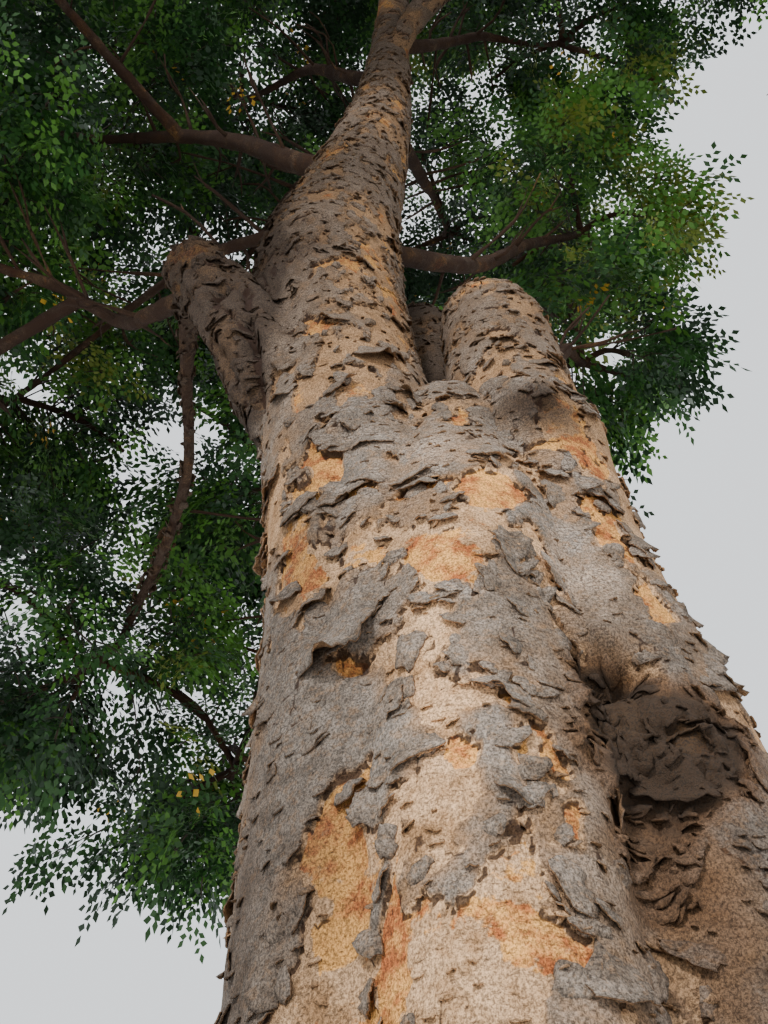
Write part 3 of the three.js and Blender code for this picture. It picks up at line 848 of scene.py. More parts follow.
def bark_age(points):
    """The bark's age, in large plates on the trunk and small ones on the boughs, and the gap to a crack."""
    high = ease(*SMALL_PLATES_RISE, points[:, 2])
    age, edge = np.zeros((2, len(points)))
    for weight, plates in ((1 - high, TRUNK_PLATES), (high, BOUGH_PLATES)):
        used = weight > 0
        found, gap = plate_age(points[used], *plates)
        age[used] += weight[used] * found
        edge[used] += weight[used] * gap
    age = age + 0.05 * high
    patches = (*LAYOUT, *PATCHES)
    near = np.any([apart(points, middle, reach) < PATCH_END for middle, reach, _ in patches], axis=0)
    age[near] = laid_out(points[near], age[near])
    return age, edge


def laid_out(points, age):
    """The age with what the photograph shows worked in, in outlines that follow small flakes."""
    flake, _ = cells(points * (1, 1, 0.7) + bend(points, 0.03, 46) * 0.05, 0.045, 49)
    ragged = 0.2 + 0.9 * cloud(points, 0.09, 45, 4) + 0.7 * flake
    bent = points + bend(points, 0.10, 36) * PATCH_BEND
    for rows, hold in ((LAYOUT, LAYOUT_HOLD), (PATCHES, PATCH_HOLD)):
        for middle, reach, target in rows:
            fade = OLD_FADE if target > FRESH_BELOW + 0.1 else FRESH_FADE
            age = age + (target - age) * hold * ease(*fade, apart(bent, middle, reach) * ragged)
    return age


def bark_stain(points):
    """How dark the crust is at each point, with torn edges."""
    return np.clip(pooled(points, STAINS) * (0.35 + 1.3 * cloud(points, 0.07, 71, 4)), 0, 1.3)


def bark_weather_and_shade(points):
    """Weathered brown and painted shade, most up the leader and on shaded boughs; below 0, painted light."""
    x, y, z = points.T
    rise = z + 0.6 * (cloud(points, 0.3, 63, 3) - 0.5)
    upward = 0.12 + 0.17 * ease(4.2, 4.8, z) + 0.18 * ease(5.0, 6.4, z) + 0.22 * ease(6.6, 9.0, z)
    foot = 0.22 * ease(1.3, 0.2, rise)
    left, rear = ease(-0.62, -0.78, x), ease(0.25, 0.5, y) * ease(6.4, 5.9, z)
    shaded = ease(4.15, BOUGHS_FROM, rise) * np.maximum(left, rear)
    weather_and_shade = np.maximum(upward + foot, 0.95 * shaded) + pooled(points, DULLED_SHADED_AND_LIT)
    return np.clip(weather_and_shade + 0.3 * (cloud(points, 0.35, 62, 3) - 0.5), -0.6, 1)


def swell(points):
    """How far the bark stands out in swellings, knots, hollows and creases, and its painted shade there."""
    height = lumps(points, TRUNK_LUMPS)
    coarse = bark_stain(points) + sum(np.exp(-apart(points, middle, reach)) for middle, reach in BURLS)
    height = height + 0.045 * (cloud(points, 0.05, 54, 4) - 0.45) * np.clip(coarse, 0, 1)
    rough = cloud(points, 0.05, 55, 3)
    along = points @ RIDGE_WAY
    ridge = cloud(points - RIDGE_WAY * along[:, None] * 0.85, 0.055, 56, 2) - 0.5
    ridged = np.exp(-apart(points, *RIDGED) ** 2)
    furrow = ridged * np.exp(-(ridge / 0.035) ** 2) * ease(0.4, 0.55, cloud(points, 0.15, 57, 2))
    height = height + RIDGE_HEIGHT * ridge * ridged - FURROW_DEPTH * furrow
    # The furrows between the ridges get painted shade
    shade = 0.8 * furrow
    for middle, reach, rise in LUMPS:
        share = np.exp(-apart(points, middle, (reach, reach)))
        height = height + rise * MM * share * (0.6 + 0.8 * rough)
        shade = shade + (0.7 * share**2 if rise < 0 else 0)
    for start, end, width, depth in CREASES:
        start, end = np.array(start) * MM, np.array(end) * MM
        share = np.clip((points - start) @ (end - start) / ((end - start) ** 2).sum(), 0, 1)[:, None]
        off = np.linalg.norm(points - start - share * (end - start), axis=1)
        off = off * (0.7 + 0.6 * rough) / (width * MM)
        height = height - depth * MM * np.exp(-(off**2))
        shade = shade + (0.75 * ease(0.9, 0.3, off) if width < DARK_CREASE else 0)
    return height, shade


def bark_fields(points, age, painted_shade):
    """What the bark's finish reads at each point."""
    return {"age": age, "painted_shade": painted_shade, "stain": bark_stain(points), "weather_and_shade": bark_weather_and_shade(points)}


def bark_relief(points, settings):
    """How far the bark stands out at each point, and what its finish reads there."""
    age, edge = bark_age(points)
    above, _ = bark_age(points + UP * settings.undercut)
    old = ease(OLD_FROM - 0.03, OLD_FROM + 0.03, age)
    fresh = ease(FRESH_BELOW + 0.04, FRESH_BELOW - 0.04, age)
    layer = np.clip((age - OLD_FROM) / 0.35, 0, 1)
    under = np.maximum((1 - old) * ease(OLD_FROM, OLD_FROM + 0.08, above), ease(0.10, 0.24, above - age))
    crack = ease(0.05, 0.01, edge) * ease(0.44, 0.56, cloud(points, 0.12, 51, 3))
    height, shade = swell(points)
    raised = settings.plate_height * (1 - 0.45 * ease(3.0, 2.5, points[:, 2]))
    height = height + raised * (0.75 * old + 0.6 * layer - 0.55 * fresh - 0.5 * under - 0.4 * crack)
    slender = ease(-1.05, -1.2, points[:, 0]) * ease(0.2, 0.5, points[:, 1])  # the hanging limb
    height = height * (1 - 0.7 * slender) - 0.007 * slender
    # Painted shade: the gaps under plates, cracks, hollows, narrow creases and the hanging limb are darkened
    painted_shade = np.clip(0.8 * under + 0.6 * crack + shade + 0.5 * slender, 0, 1)
    return height, bark_fields(points, age, painted_shade)


def fused_bark(parts, voxel):
    """A mesh of one skin round all the parts, with four-sided faces."""
    rough = add_mesh("rough_bark", *parts)
    fuse = rough.modifiers.new("fuse", "REMESH")
    fuse.mode = "VOXEL"
    fuse.voxel_size = voxel
    shown = rough.evaluated_get(bpy.context.evaluated_depsgraph_get())
    skin = bpy.data.meshes.new_from_object(shown)
    bpy.data.objects.remove(rough)
    return skin


def coordinates(mesh):
    """The places of a mesh's vertices."""
    points = np.empty(len(mesh.vertices) * 3, np.float32)
    mesh.vertices.foreach_get("co", points)
    return points.reshape(-1, 3).astype(float)


def normals_of(mesh, points):
    """Moves a mesh's vertices to the points, and gives the way out of the mesh at each."""
    mesh.vertices.foreach_set("co", points.astype(np.float32).ravel())
    mesh.update()
    normals = np.empty(len(points) * 3, np.float32)
    mesh.vertex_normals.foreach_get("vector", normals)
    return normals.reshape(-1, 3).astype(float)


def fill_furrows(mesh, points, rounds, foot_rounds):
    """Softens the furrows between fused stems, most of all at the foot, and leaves what bulges as it is."""
    edges = np.empty(len(mesh.edges) * 2, np.int32)
    mesh.edges.foreach_get("vertices", edges)
    one, other = edges.reshape(-1, 2).T
    start = points.copy()
    near_foot = ease(FOOT_TOP, FOOT_TOP - 0.9, start[:, 2:])
    for k in range(rounds + foot_rounds):
        if k % ROUNDS_PER_NORMAL == 0:
            normals = normals_of(mesh, points)
        if k == rounds:
            low = start[one, 2] < FOOT_TOP + 0.05
            one, other = one[low], other[low]
        if k in (0, rounds):
            used, ends = np.unique(np.concatenate([one, other]), return_inverse=True)
            count = np.bincount(ends)[:, None]
            onto = np.concatenate([other, one])
        mean = np.stack([np.bincount(ends, points[onto, i]) for i in range(3)], axis=1) / count
        step = mean - points[used]
        pull = (step * normals[used]).sum(axis=1, keepdims=True)
        weight = np.where(pull > 0, 0.9, 0.12 if k < rounds else 0.04)
        points[used] += step * weight * (near_foot[used] if k >= rounds else 1)
    return points, np.linalg.norm(points - start, axis=1)


def make_bark(settings):
    """The skin of the trunk and the great boughs: smooth, and with its relief and what its finish reads."""
    limbs, _ = grow_tree()
    parts = [tube(limbs[name], *BOUGH_TUBE) for name in (*STEMS, *BOUGHS)]
    parts += [tube(root_flare(degrees), *FLARE_TUBE) for degrees in FLARE_TURNS]
    vertices, faces = join(parts)
    vertices[:, 2] = np.maximum(vertices[:, 2], 0)
    mesh = fused_bark((vertices, faces), settings.voxel)
    smooth, filled = fill_furrows(mesh, coordinates(mesh), settings.furrow_rounds, settings.foot_rounds)
    outward = normals_of(mesh, smooth)
    height, fields = bark_relief(smooth, settings)
    # Painted shade in the furrows filled between the root flares
    fields["painted_shade"] += 0.3 * ease(0.006, 0.03, filled) * ease(FOOT_TOP - 0.6, FOOT_TOP, smooth[:, 2])
    points = smooth + outward * height[:, None]
    points[:, 2] = np.maximum(points[:, 2], 0)
    normals = normals_of(mesh, points)
    faces = np.empty(len(mesh.polygons) * 4, np.int32)
    mesh.polygons.foreach_get("vertices", faces)
    bpy.data.meshes.remove(mesh)
    return smooth, outward, points, normals, faces.reshape(-1, 4), fields


def spread(points, chosen, pitch, share, rng):
    """Some of the chosen points, at most one to each block of space of about a pitch."""
    order = rng.permutation(chosen)
    low = points[order, 2] < BOUGHS_FROM
    local = np.where(low, pitch, pitch * BOUGH_SPACING)
    blocks = np.column_stack([np.floor(points[order] / local[:, None]), low]).astype(int)
    _, first = np.unique(blocks, axis=0, return_index=True)
    picked = order[np.sort(first)]
    return picked[rng.random(len(picked)) < share]


def downhill(points, normals):
    """The way along the bark in which its age falls fastest, from an old plate to what it has bared."""
    side = unit(np.cross(normals, UP + 0.01))
    rise = np.cross(side, normals)
    step = 0.012
    slopes = [bark_age(points + step * way)[0] - bark_age(points - step * way)[0] for way in (side, rise)]
    return unit(-slopes[0][:, None] * side - slopes[1][:, None] * rise)


def scale_faces(rows, columns):
    """The faces of a scale's grid: its front, its back and the rim between them."""
    count = rows * columns
    front = [(r * columns + c, r * columns + c + 1, (r + 1) * columns + c + 1, (r + 1) * columns + c)
             for r in range(rows - 1) for c in range(columns - 1)]
    back = [(d + count, c + count, b + count, a + count) for a, b, c, d in front]
    rim = [*range(columns), *(r * columns + columns - 1 for r in range(1, rows)),
           *((rows - 1) * columns + c for c in range(columns - 2, -1, -1)),
           *(r * columns for r in range(rows - 2, 0, -1))]
    wall = [(b, a, a + count, b + count) for a, b in zip(rim, rim[1:] + rim[:1])]
    return np.array(front + back + wall)[:, ::-1]


def lifted_scales(edges, normals, ways, sizes, grid, height, rng, skin):
    """Scales with lobed outlines, whose free edges stand clear of the bark at the points given."""
    count = len(edges)
    widths, depths, lifts = sizes
    rows, columns = grid
    u, v = np.linspace(-1, 1, columns), np.linspace(0, 1, rows)
    large, small, waist, swing, _ = rng.uniform(0, math.tau, (5, count, 1))
    ragged = min(RAGGED, 2 / columns)
    lobes = 1 + 0.13 * np.sin(2.6 * u + large) + 0.09 * np.sin(6.1 * u + small)
    lobes = lobes + ragged * rng.uniform(-1, 1, (count, columns))
    drop = depths[:, None] * lobes * (1 - 0.5 * np.abs(u) ** 2.6)
    half = widths[:, None] / 2 * (1 - 0.16 * v) * (1 + 0.08 * np.sin(4.3 * v + waist))
    half = half * rng.uniform(0.9, 1.1, (count, rows))
    across = np.cross(normals, ways)[:, None, None] * (half[:, :, None] * u)[..., None]
    along = ways[:, None, None] * ((v[:, None] - 0.8) * drop[:, None, :])[..., None]
    flat = edges[:, None, None] + across + along
    nearest = [skin.find_nearest(Vector(place)) for place in flat.reshape(-1, 3)]
    surface, away = (np.array([near[k] for near in nearest]).reshape(flat.shape) for k in (0, 1))
    bow = (0.8 + 0.3 * np.sin(2.9 * u + swing)) * (1 - 0.55 * np.abs(u) ** 3)
    curl = lifts[:, None, None] * (v**1.7)[:, None] * bow[:, None, :] \
        * (1 + 1.5 * ragged * rng.uniform(-1, 1, (count, 1, columns)))
    thick = rng.uniform(*SCALE_THICKNESS, (count, 1, 1)) * (0.5 + 0.5 * v[:, None])
    level = height[:, None, None] + curl + swell(surface.reshape(-1, 3))[0].reshape(curl.shape)
    level[:, 0] -= ROOT_DEPTH
    outer = surface + away * (level + thick)[..., None]
    inner = surface + away * (level - 0.0005)[..., None]
    inner[:, 0] -= away[:, 0] * 0.004
    points = np.concatenate([outer.reshape(count, -1, 3), inner.reshape(count, -1, 3)], axis=1)
    shift = np.arange(count)[:, None, None] * points.shape[1]
    faces = (scale_faces(rows, columns)[None] + shift).reshape(-1, 4)
    outside = np.tile(np.repeat([True, False], rows * columns), count)
    return points.reshape(-1, 3), faces, outside


def seeded_scales(smooth, outward, fields, skin, settings, rng):
    """Lifted scales of each kind, where the bark lets them grow, and the age that each of them shows."""
    age, stain = fields["age"], fields["stain"]
    rooted = (smooth[:, 2] > SCALES_RISE[0]) & (smooth[:, 2] < SCALES_RISE[1])
    stepped = (fields["painted_shade"] > 0.5) & (age > 0.5) & (stain < 0.2)
    edge = stepped | (np.abs(age - OLD_FROM) < 0.04)
    found = {"edge": edge, "anywhere": age > 0.42, "crust": stain > 0.55}
    kinds = []
    for pitch, share, wide, lift, rows, columns, where in SCALE_KINDS:
        at_edge = where == "edge"
        chosen = spread(smooth, np.nonzero(rooted & found[where])[0], pitch, share, rng)
        points, normals, ages = smooth[chosen], outward[chosen], age[chosen]
        stray = 1.6 if where == "crust" else 0.35
        down = unit(-UP + normals * normals[:, 2:] + rng.normal(0, stray, normals.shape))
        ways = downhill(points, normals) if at_edge else down
        ways = flat_to(unit(ways + 0.5 * down), normals)
        low = points[:, 2] < BOUGHS_FROM
        widths = rng.uniform(*wide, len(points)) * np.where(low, 1, BOUGH_SCALE)
        depths = widths * rng.uniform(*SCALE_DEPTH, len(points))
        falls = (ways[:, 2] < 0.1) * 0.7 + 0.3  # a scale that points up lifts less
        lifts = rng.uniform(*lift, len(points)) * falls * np.where(low, 1, BOUGH_LIFT)
        height = settings.plate_height * np.where(at_edge, 1.0, ease(OLD_FROM - 0.1, OLD_FROM, ages))
        sizes = (widths, depths, lifts)
        scales = lifted_scales(points, normals, ways, sizes, (rows, columns), height, rng, skin)
        kinds.append((scales, np.where(at_edge, SCALE_AGE, ages)))
    return kinds


def placed_plates(skin, settings, rng):
    """The large plates that the photograph shows lifted, and the age that each of them shows."""
    places, *sizes, turns = zip(*LIFTED_PLATES)
    nearest = [skin.find_nearest(Vector(place)) for place in np.array(places) * MM]
    points, normals = (np.array([near[k] for near in nearest]) for k in (0, 1))
    down = unit(-UP + normals * normals[:, 2:])
    turns = np.radians(turns)[:, None]
    ways = down * np.cos(turns) + np.cross(normals, down) * np.sin(turns)
    height = np.full(len(points), settings.plate_height)
    plates = lifted_scales(points, normals, ways, np.array(sizes) * MM, PLATE_GRID, height, rng, skin)
    return plates, np.full(len(points), PLATE_AGE)


def add_bark_pieces(rows, heights, vertices, faces, fields, material, *normals):
    """Cuts a bark mesh into pieces by the height of its faces, and dresses them."""
    for name, low, high, *nodes in rows:
        chosen = (heights >= low) & (heights < high)
        points, corners, *read = subset(chosen, vertices, faces, *fields.values(), *normals)
        piece = add_mesh(name, points, corners, dict(zip(fields, read)), *read[len(fields):])
        dress(piece, "upper_bark" if low >= BOUGHS_FROM else "trunk_bark", [material], *nodes)


def add_scales(kinds, material):
    """Joins the scales, gives them what their finish reads, and adds them as pieces."""
    vertices, faces = join([scales[:2] for scales, _ in kinds])
    outside = np.concatenate([scales[2] for scales, _ in kinds])
    ages, heights = [], []
    for (points, *_), shown in kinds:
        count = len(points) // len(shown)
        ages.append(np.repeat(shown, count))
        heights.append(np.repeat(points[::count, 2], count))
    ages, heights = np.concatenate(ages), np.concatenate(heights)
    # The scales' undersides get painted shade
    fields = bark_fields(vertices, np.where(outside, ages, 0.44), np.where(outside, 0.0, 0.40))
    add_bark_pieces(SCALE_PIECES, heights[faces[:, 0]], vertices, faces, fields, material)


def colour_of(name, description, code):
    """A colour that a user may change, from its sRGB hex code."""
    return FloatVectorProperty(name=name, description=description, subtype="COLOR", size=3, min=0, max=1,
                               default=linear(code))


def length_of(name, description, metres, least=0.0):
    """A length that a user may change."""
    return FloatProperty(name=name, description=description, unit="LENGTH", default=metres, min=least)


def strength_of(name, description, strength):
    """A light's strength that a user may change."""
    return FloatProperty(name=name, description=description, default=strength, min=0)


def count_of(name, description, number, least, most):
    """A whole number that a user may change."""
    return IntProperty(name=name, description=description, default=number, min=least, max=most)


class BarkSettings(bpy.types.PropertyGroup):
    """Sizes and colours of the bark."""

    voxel: length_of("Mesh size", "Spacing of the bark's vertices", 0.0098, 0.005)
    furrow_rounds: count_of("Furrow rounds", "How far the stems have grown together", 8, 0, 200)
    foot_rounds: count_of("Foot rounds", "How far the root flares have grown together", 200, 0, 600)
    plate_height: length_of("Plate height", "How far an old plate stands out", 0.008)
    undercut: length_of("Undercut", "Height of the shadow gap below a plate", 0.012)
    old: colour_of("Old bark", "Weathered grey plates", "8d8277")
    old_dark: colour_of("Old bark, dark", "Darker grey in the old plates", "5f564d")
    middle: colour_of("Middle bark", "Tan bark between the plates", "c6a07a")
    middle_dark: colour_of("Middle bark, dark", "Duller tan", "977350")
    fresh: colour_of("Fresh bark", "Newly bared ochre bark", "d89e58")
    fresh_dark: colour_of("Fresh bark, dark", "Rusty part of newly bared bark", "9e5a32")
    # Weathered bark and painted shade on shaded boughs and limbs share this dark brown
    weathered_and_shaded: colour_of("Weathered", "Dark brown of the upper and shaded bark", "2d2118")
    # Deep brown painted shade for the gaps under plates, cracks, hollows and creases
    painted_shade: colour_of("Crevice", "Deep brown of the gaps under plates", "2c1a10")
    crust: colour_of("Crust", "Black crust at the hollow", "30271f")
    run: colour_of("Run", "Brown stain below the crust", "5a3f28")


class LeafSettings(bpy.types.PropertyGroup):
    """Sizes and colours of the twigs and leaves."""

    twigs: count_of("Twigs", "Fine twigs in a mass of foliage", 70, 8, 400)
    spacing: length_of("Leaf spacing", "Between leaves on a twig", 0.052, 0.01)
    length: length_of("Leaf length", "Of a leaf with all its leaflets", 0.21, 0.05)
    leaflet: length_of("Leaflet length", "Of a leaflet, larger than life", 0.050, 0.01)
    deep: colour_of("Deep green", "Shaded leaves", "152e14")
    green: colour_of("Green", "Most leaves", "25481b")
    # Bright green goes to younger leaves, and to leaves painted lighter as painted light
    bright: colour_of("Bright green", "Younger leaves", "477026")
    olive: colour_of("Olive", "Leaves about to turn", "68752a")
    yellow: colour_of("Yellow", "Turned leaves", "b8912c")
    twig: colour_of("Twig", "Grey-brown pores of the twigs", "382c22")
    twig_dark: colour_of("Twig, dark", "Darker brown between the pores", "33271d")


class StageSettings(bpy.types.PropertyGroup):
    """The floor and the light."""

    floor: colour_of("Floor", "Pale floor", "e6e6e4")
    sky: colour_of("Backdrop", "Pale backdrop", "f0f4f8")
    sun: strength_of("Key light", "Strength of the key light", 3.8)
    sky_strength: strength_of("Backdrop light", "Strength of the backdrop", 1.45)


def add(tree, kind, inputs=None, **settings):
    """A node with its settings and its inputs, each a value or the socket that feeds it."""
    made = tree.nodes.new(kind)
    for name, value in settings.items():
        setattr(made, name, value)
    for key, value in (inputs or {}).items():
        if isinstance(value, bpy.types.NodeSocket):
            tree.links.new(value, made.inputs[key])
        else:
            made.inputs[key].default_value = value
    return made


def per_metre(size):
    """A pattern's scale, from its real size in millimetres."""
    return 1 / (size * MM)


def new_material(name):
    """An empty material with its shader, and the tree and shader to work on."""
    material = bpy.data.materials.new(name)
    material.use_nodes = True
    shader = material.node_tree.nodes["Principled BSDF"]
    return material, material.node_tree, shader


# The steps that a finish is worked out in: kind of node, where its values go, its setting and its result
STEPS = {
    "fade": ("ShaderNodeMapRange", ("Value", "From Min", "From Max", "To Min", "To Max"),
             {"interpolation_type": "SMOOTHSTEP"}, "Result"),
    "blend": ("ShaderNodeMix", (0, 6, 7), {"data_type": "RGBA"}, 2),
    "tint": ("ShaderNodeVectorMath", (0, 1), {"operation": "MULTIPLY"}, "Vector"),
    "plus": ("ShaderNodeMath", (0, 1), {"operation": "ADD"}, 0),
    "minus": ("ShaderNodeMath", (0, 1), {"operation": "SUBTRACT"}, 0),
    "times": ("ShaderNodeMath", (0, 1), {"operation": "MULTIPLY"}, 0),
    "larger": ("ShaderNodeMath", (0, 1), {"operation": "MAXIMUM"}, 0),
}


def flaking_bark(settings):
    """Bark that sheds in plates: weathered grey over tan, fresh ochre where a plate has just dropped."""
    material, tree, shader = new_material("flaking_bark")
    place = add(tree, "ShaderNodeTexCoord").outputs["Object"]
    fibres = add(tree, "ShaderNodeMapping", {"Vector": place, "Scale": (1, 1, 0.75)}).outputs["Vector"]
    level = add(tree, "ShaderNodeMapping", {"Vector": place, "Scale": (0.45, 0.45, 1.3)}).outputs["Vector"]
    read = {name: add(tree, "ShaderNodeAttribute", attribute_name=name).outputs["Fac"]
            for name in ("age", "painted_shade", "stain", "weather_and_shade")}
    noise = {}
    torn = add(tree, "ShaderNodeTexNoise", {
        "Vector": place, "Scale": per_metre(30), "Detail": 3}).outputs["Color"]
    for name, size, vector, detail, rough in (
        ("ragged", 20, place, 5, 0.7),  # the torn outline of a plate
        ("mottle", 85, place, 5, 0.7),  # weathering over a hand's breadth
        ("grain", 4.8, fibres, 3, 0.85),  # corky grains of 2 to 3 mm, drawn coarse enough to show
        ("speck", 8, level, 4, 0.7),  # pores and the lips of tiny scales
    ):
        noise[name] = add(tree, "ShaderNodeTexNoise", {
            "Vector": vector, "Scale": per_metre(size), "Detail": detail, "Roughness": rough,
        }).outputs["Fac"]

    def step(name, *values):
        """The result of one of the steps above, from its values in order."""
        kind, sockets, setting, result = STEPS[name]
        return add(tree, kind, dict(zip(sockets, values)), **setting).outputs[result]

    def pair(name, low, high, most=1.0):
        dark, light = (opaque(getattr(settings, key)) for key in (f"{name}_dark", name))
        return step("blend", step("fade", noise["mottle"], low, high, 0.0, most), dark, light)

    rise = add(tree, "ShaderNodeSeparateXYZ", {"Vector": place}).outputs["Z"]
    wobble = step("times", step("minus", noise["ragged"], 0.5), 0.34)
    age = step("plus", read["age"], wobble)
    old = step("fade", age, OLD_FROM - 0.02, OLD_FROM + 0.02)
    fresh = step("fade", age, FRESH_BELOW + 0.03, FRESH_BELOW - 0.03)
    pale = step("fade", rise, 4.3, 3.3, 0.4, 1.0)  # the tan is duller on the boughs
    colour = step("blend", fresh, pair("middle", 0.34, 0.6, pale), pair("fresh", 0.38, 0.58))
    brown = step("fade", noise["ragged"], 0.48, 0.62, 0.0, 0.4)
    young = step("fade", age, OLD_FROM, OLD_FROM + 0.3, 0.7, 0.0)
    brown = step("larger", brown, young)  # young plates are brown
    brown = step("larger", brown, step("fade", rise, 3.8, 4.8, 0.0, 0.3))  # and those on the boughs a little
    plates = step("blend", brown, pair("old", 0.36, 0.64), opaque(settings.middle_dark))
    colour = step("blend", old, colour, plates)
    grain = step("fade", noise["grain"], 0.36, 0.64, 0.42, 1.52)
    colour = step("tint", colour, grain)
    swayed = add(tree, "ShaderNodeVectorMath", {0: torn, 1: (0.02, 0.02, 0.02), 2: level},
                 operation="MULTIPLY_ADD").outputs["Vector"]
    flakes = add(tree, "ShaderNodeTexVoronoi", {"Vector": swayed, "Scale": per_metre(20)},
                 feature="DISTANCE_TO_EDGE").outputs["Distance"]  # tiny scales of about 20 mm
    scaly = step("fade", noise["mottle"], 0.44, 0.6, 0.1, 0.7)
    scaly = step("times", scaly, step("fade", old, 0.0, 1.0, 0.25, 1.0))
    scaly = step("times", scaly, step("fade", rise, 2.6, 3.6, 0.25, 1.0))
    # Painted shadow at the lips and rims of tiny scales, with pores, as dark specks
    rims = step("times", step("fade", flakes, 0.07, 0.01), scaly)
    specks = step("larger", step("times", step("fade", noise["speck"], 0.58, 0.67), 0.55), rims)
    colour = step("blend", specks, colour, opaque(settings.painted_shade))
    # Painted light, partly bleaching: lighter where the bark is marked below 0
    lit_and_bleached = step("fade", read["weather_and_shade"], 0.0, -0.6, 1.0, 1.5)
    colour = step("tint", colour, lit_and_bleached)
    # Weathering and painted shade: a blend towards dark brown
    weather_and_shade = step("plus", read["weather_and_shade"], step("times", wobble, 0.6))
    colour = step("blend", step("times", weather_and_shade, 0.88), colour, step("tint", settings.weathered_and_shaded, grain))
    # Painted shade: a blend towards deep brown in gaps, cracks, hollows and creases
    deep = step("fade", step("plus", read["painted_shade"], wobble), 0.35, 0.6)
    colour = step("blend", step("times", deep, 0.85), colour, opaque(settings.painted_shade))
    stain = step("plus", read["stain"], wobble)
    below = step("fade", stain, 0.06, 0.6, 0.0, 0.8)
    colour = step("blend", below, colour, step("tint", settings.run, grain))
    char = step("fade", noise["grain"], 0.38, 0.6, 0.4, 1.0)
    char = step("times", step("fade", stain, 0.45, 0.95), char)
    colour = step("blend", char, colour, opaque(settings.crust))
    height = step("plus", step("times", old, 0.8), step("times", noise["grain"], 2.0))
    height = step("minus", height, step("times", specks, 0.9))
    height = step("minus", height, step("times", deep, 0.8))
    bump = add(tree, "ShaderNodeBump", {"Height": height, "Strength": 0.8, "Distance": 0.005})
    tree.links.new(colour, shader.inputs["Base Color"])
    tree.links.new(bump.outputs["Normal"], shader.inputs["Normal"])
    shader.inputs["Roughness"].default_value = 0.93
    shader.inputs["Specular IOR Level"].default_value = 0.22
    return material


def twig_bark(settings):
    """Thin young bark: smooth grey-brown, with paler pores."""
    material, tree, shader = new_material("twig_bark")
    place = add(tree, "ShaderNodeTexCoord").outputs["Object"]
    pores = add(tree, "ShaderNodeTexNoise", {
        "Vector": place, "Scale": per_metre(12), "Detail": 3}).outputs["Fac"]
    colour = add(tree, "ShaderNodeMix", {0: pores, 6: opaque(settings.twig_dark), 7: opaque(settings.twig)},
                 data_type="RGBA").outputs[2]
    tree.links.new(colour, shader.inputs["Base Color"])
    shader.inputs["Roughness"].default_value = 0.85
    return material


def leaf_materials(settings):
    """Leathery leaflets, dark and a little glossy above: one plain green to each, dealt out by spray."""
    materials = []
    for name in GREENS:
        material, _, shader = new_material(f"{name}_leaf")
        shader.inputs["Base Color"].default_value = opaque(getattr(settings, name))
        shader.inputs["Roughness"].default_value = 0.5
        shader.inputs["Specular IOR Level"].default_value = 0.35
        materials.append(material)
    return materials


def leaf_form(settings, rng):
    """The vertices and faces of one leaf: a stalk, and parts that carry lozenge leaflets turn by turn."""
    points, faces = [], []

    def blade(foot, way, length, width, fold):
        side = np.array([-way[1], way[0], 0])
        middle = foot + way * length * 0.45 - UP * fold
        tip = foot + way * length - UP * fold
        start = len(points)
        points.extend([foot, middle - side * width / 2, tip, middle + side * width / 2])
        faces.append((start, start + 1, start + 2, start + 3))

    length, leaflet = settings.length, settings.leaflet
    ahead = np.array([1.0, 0, 0])
    blade(np.zeros(3), ahead, length * 0.8, 0.003, 0)
    for along, turn, share in LEAF_PARTS:
        turn = math.radians(turn + rng.uniform(-12, 12))
        way = np.array([math.cos(turn), math.sin(turn), rng.uniform(-0.35, 0.15)])
        foot = ahead * along * length * 0.8
        reach = length * share * rng.uniform(0.85, 1.15)
        for k in range(LEAFLETS + 1):
            place = foot + way * reach * (k + 0.6) / (LEAFLETS + 0.6)
            last = k == LEAFLETS
            swing = 0.0 if last else (1 if k % 2 else -1) * math.radians(rng.uniform(45, 80))
            heading = math.atan2(way[1], way[0]) + swing
            size = leaflet * rng.uniform(0.8, 1.15)
            blade(place, np.array([math.cos(heading), math.sin(heading), rng.uniform(-0.3, 0.3)]), size,
                  size * rng.uniform(0.55, 0.7), size * 0.12)
    return np.array(points), np.array(faces)


def clear_of(points, places, margin):
    """Which points keep a margin from every place along the limbs."""
    gaps = np.linalg.norm(points[:, None, :] - places[None, :, :3], axis=2) - places[None, :, 3]
    return gaps.min(axis=1) > margin


def grow_twigs(mass, masses, limb_places, settings):
    """Fine twigs that fill the mass's own space, each from the nearest branch, as feet and ends in m."""
    count = round(settings.twigs * THINNED.get(mass.name, 1))
    k = np.arange(count)
    height = 1 - 2 * (k + 0.5) / count
    angle = k * GOLDEN_TURN + mass.turn + 1
    wide = np.sqrt(1 - height**2)
    way = np.stack([wide * np.cos(angle), wide * np.sin(angle), height], axis=1)
    deep = (k * GOLDEN_SHARE) % 1
    near, far = TWIG_ZONE
    out = (near**3 + (far**3 - near**3) * deep) ** (1 / 3)  # as many twigs to each part of the space
    ends = (mass.middle + way * mass.reach * out[:, None]) * MM
    hearts = ends[::TUFT_STEP]
    nearest = hearts[np.linalg.norm(ends[:, None] - hearts[None], axis=2).argmin(axis=1)]
    ends = ends + (nearest - ends) * TUFT_PULL
    keep = inside(mass, masses, limb_places, ends)
    ends = ends[keep]
    carriers = np.vstack([limb.at(np.linspace(0.15, 1, 24)) for limb in (mass.stem, *mass.branches)])[:, :3]
    heart = mass.stem.at(1.0)[:3]
    wanted = heart + (ends - heart) * 0.5
    feet = carriers[np.linalg.norm(wanted[:, None] - carriers[None], axis=2).argmin(axis=1)]
    return feet, ends


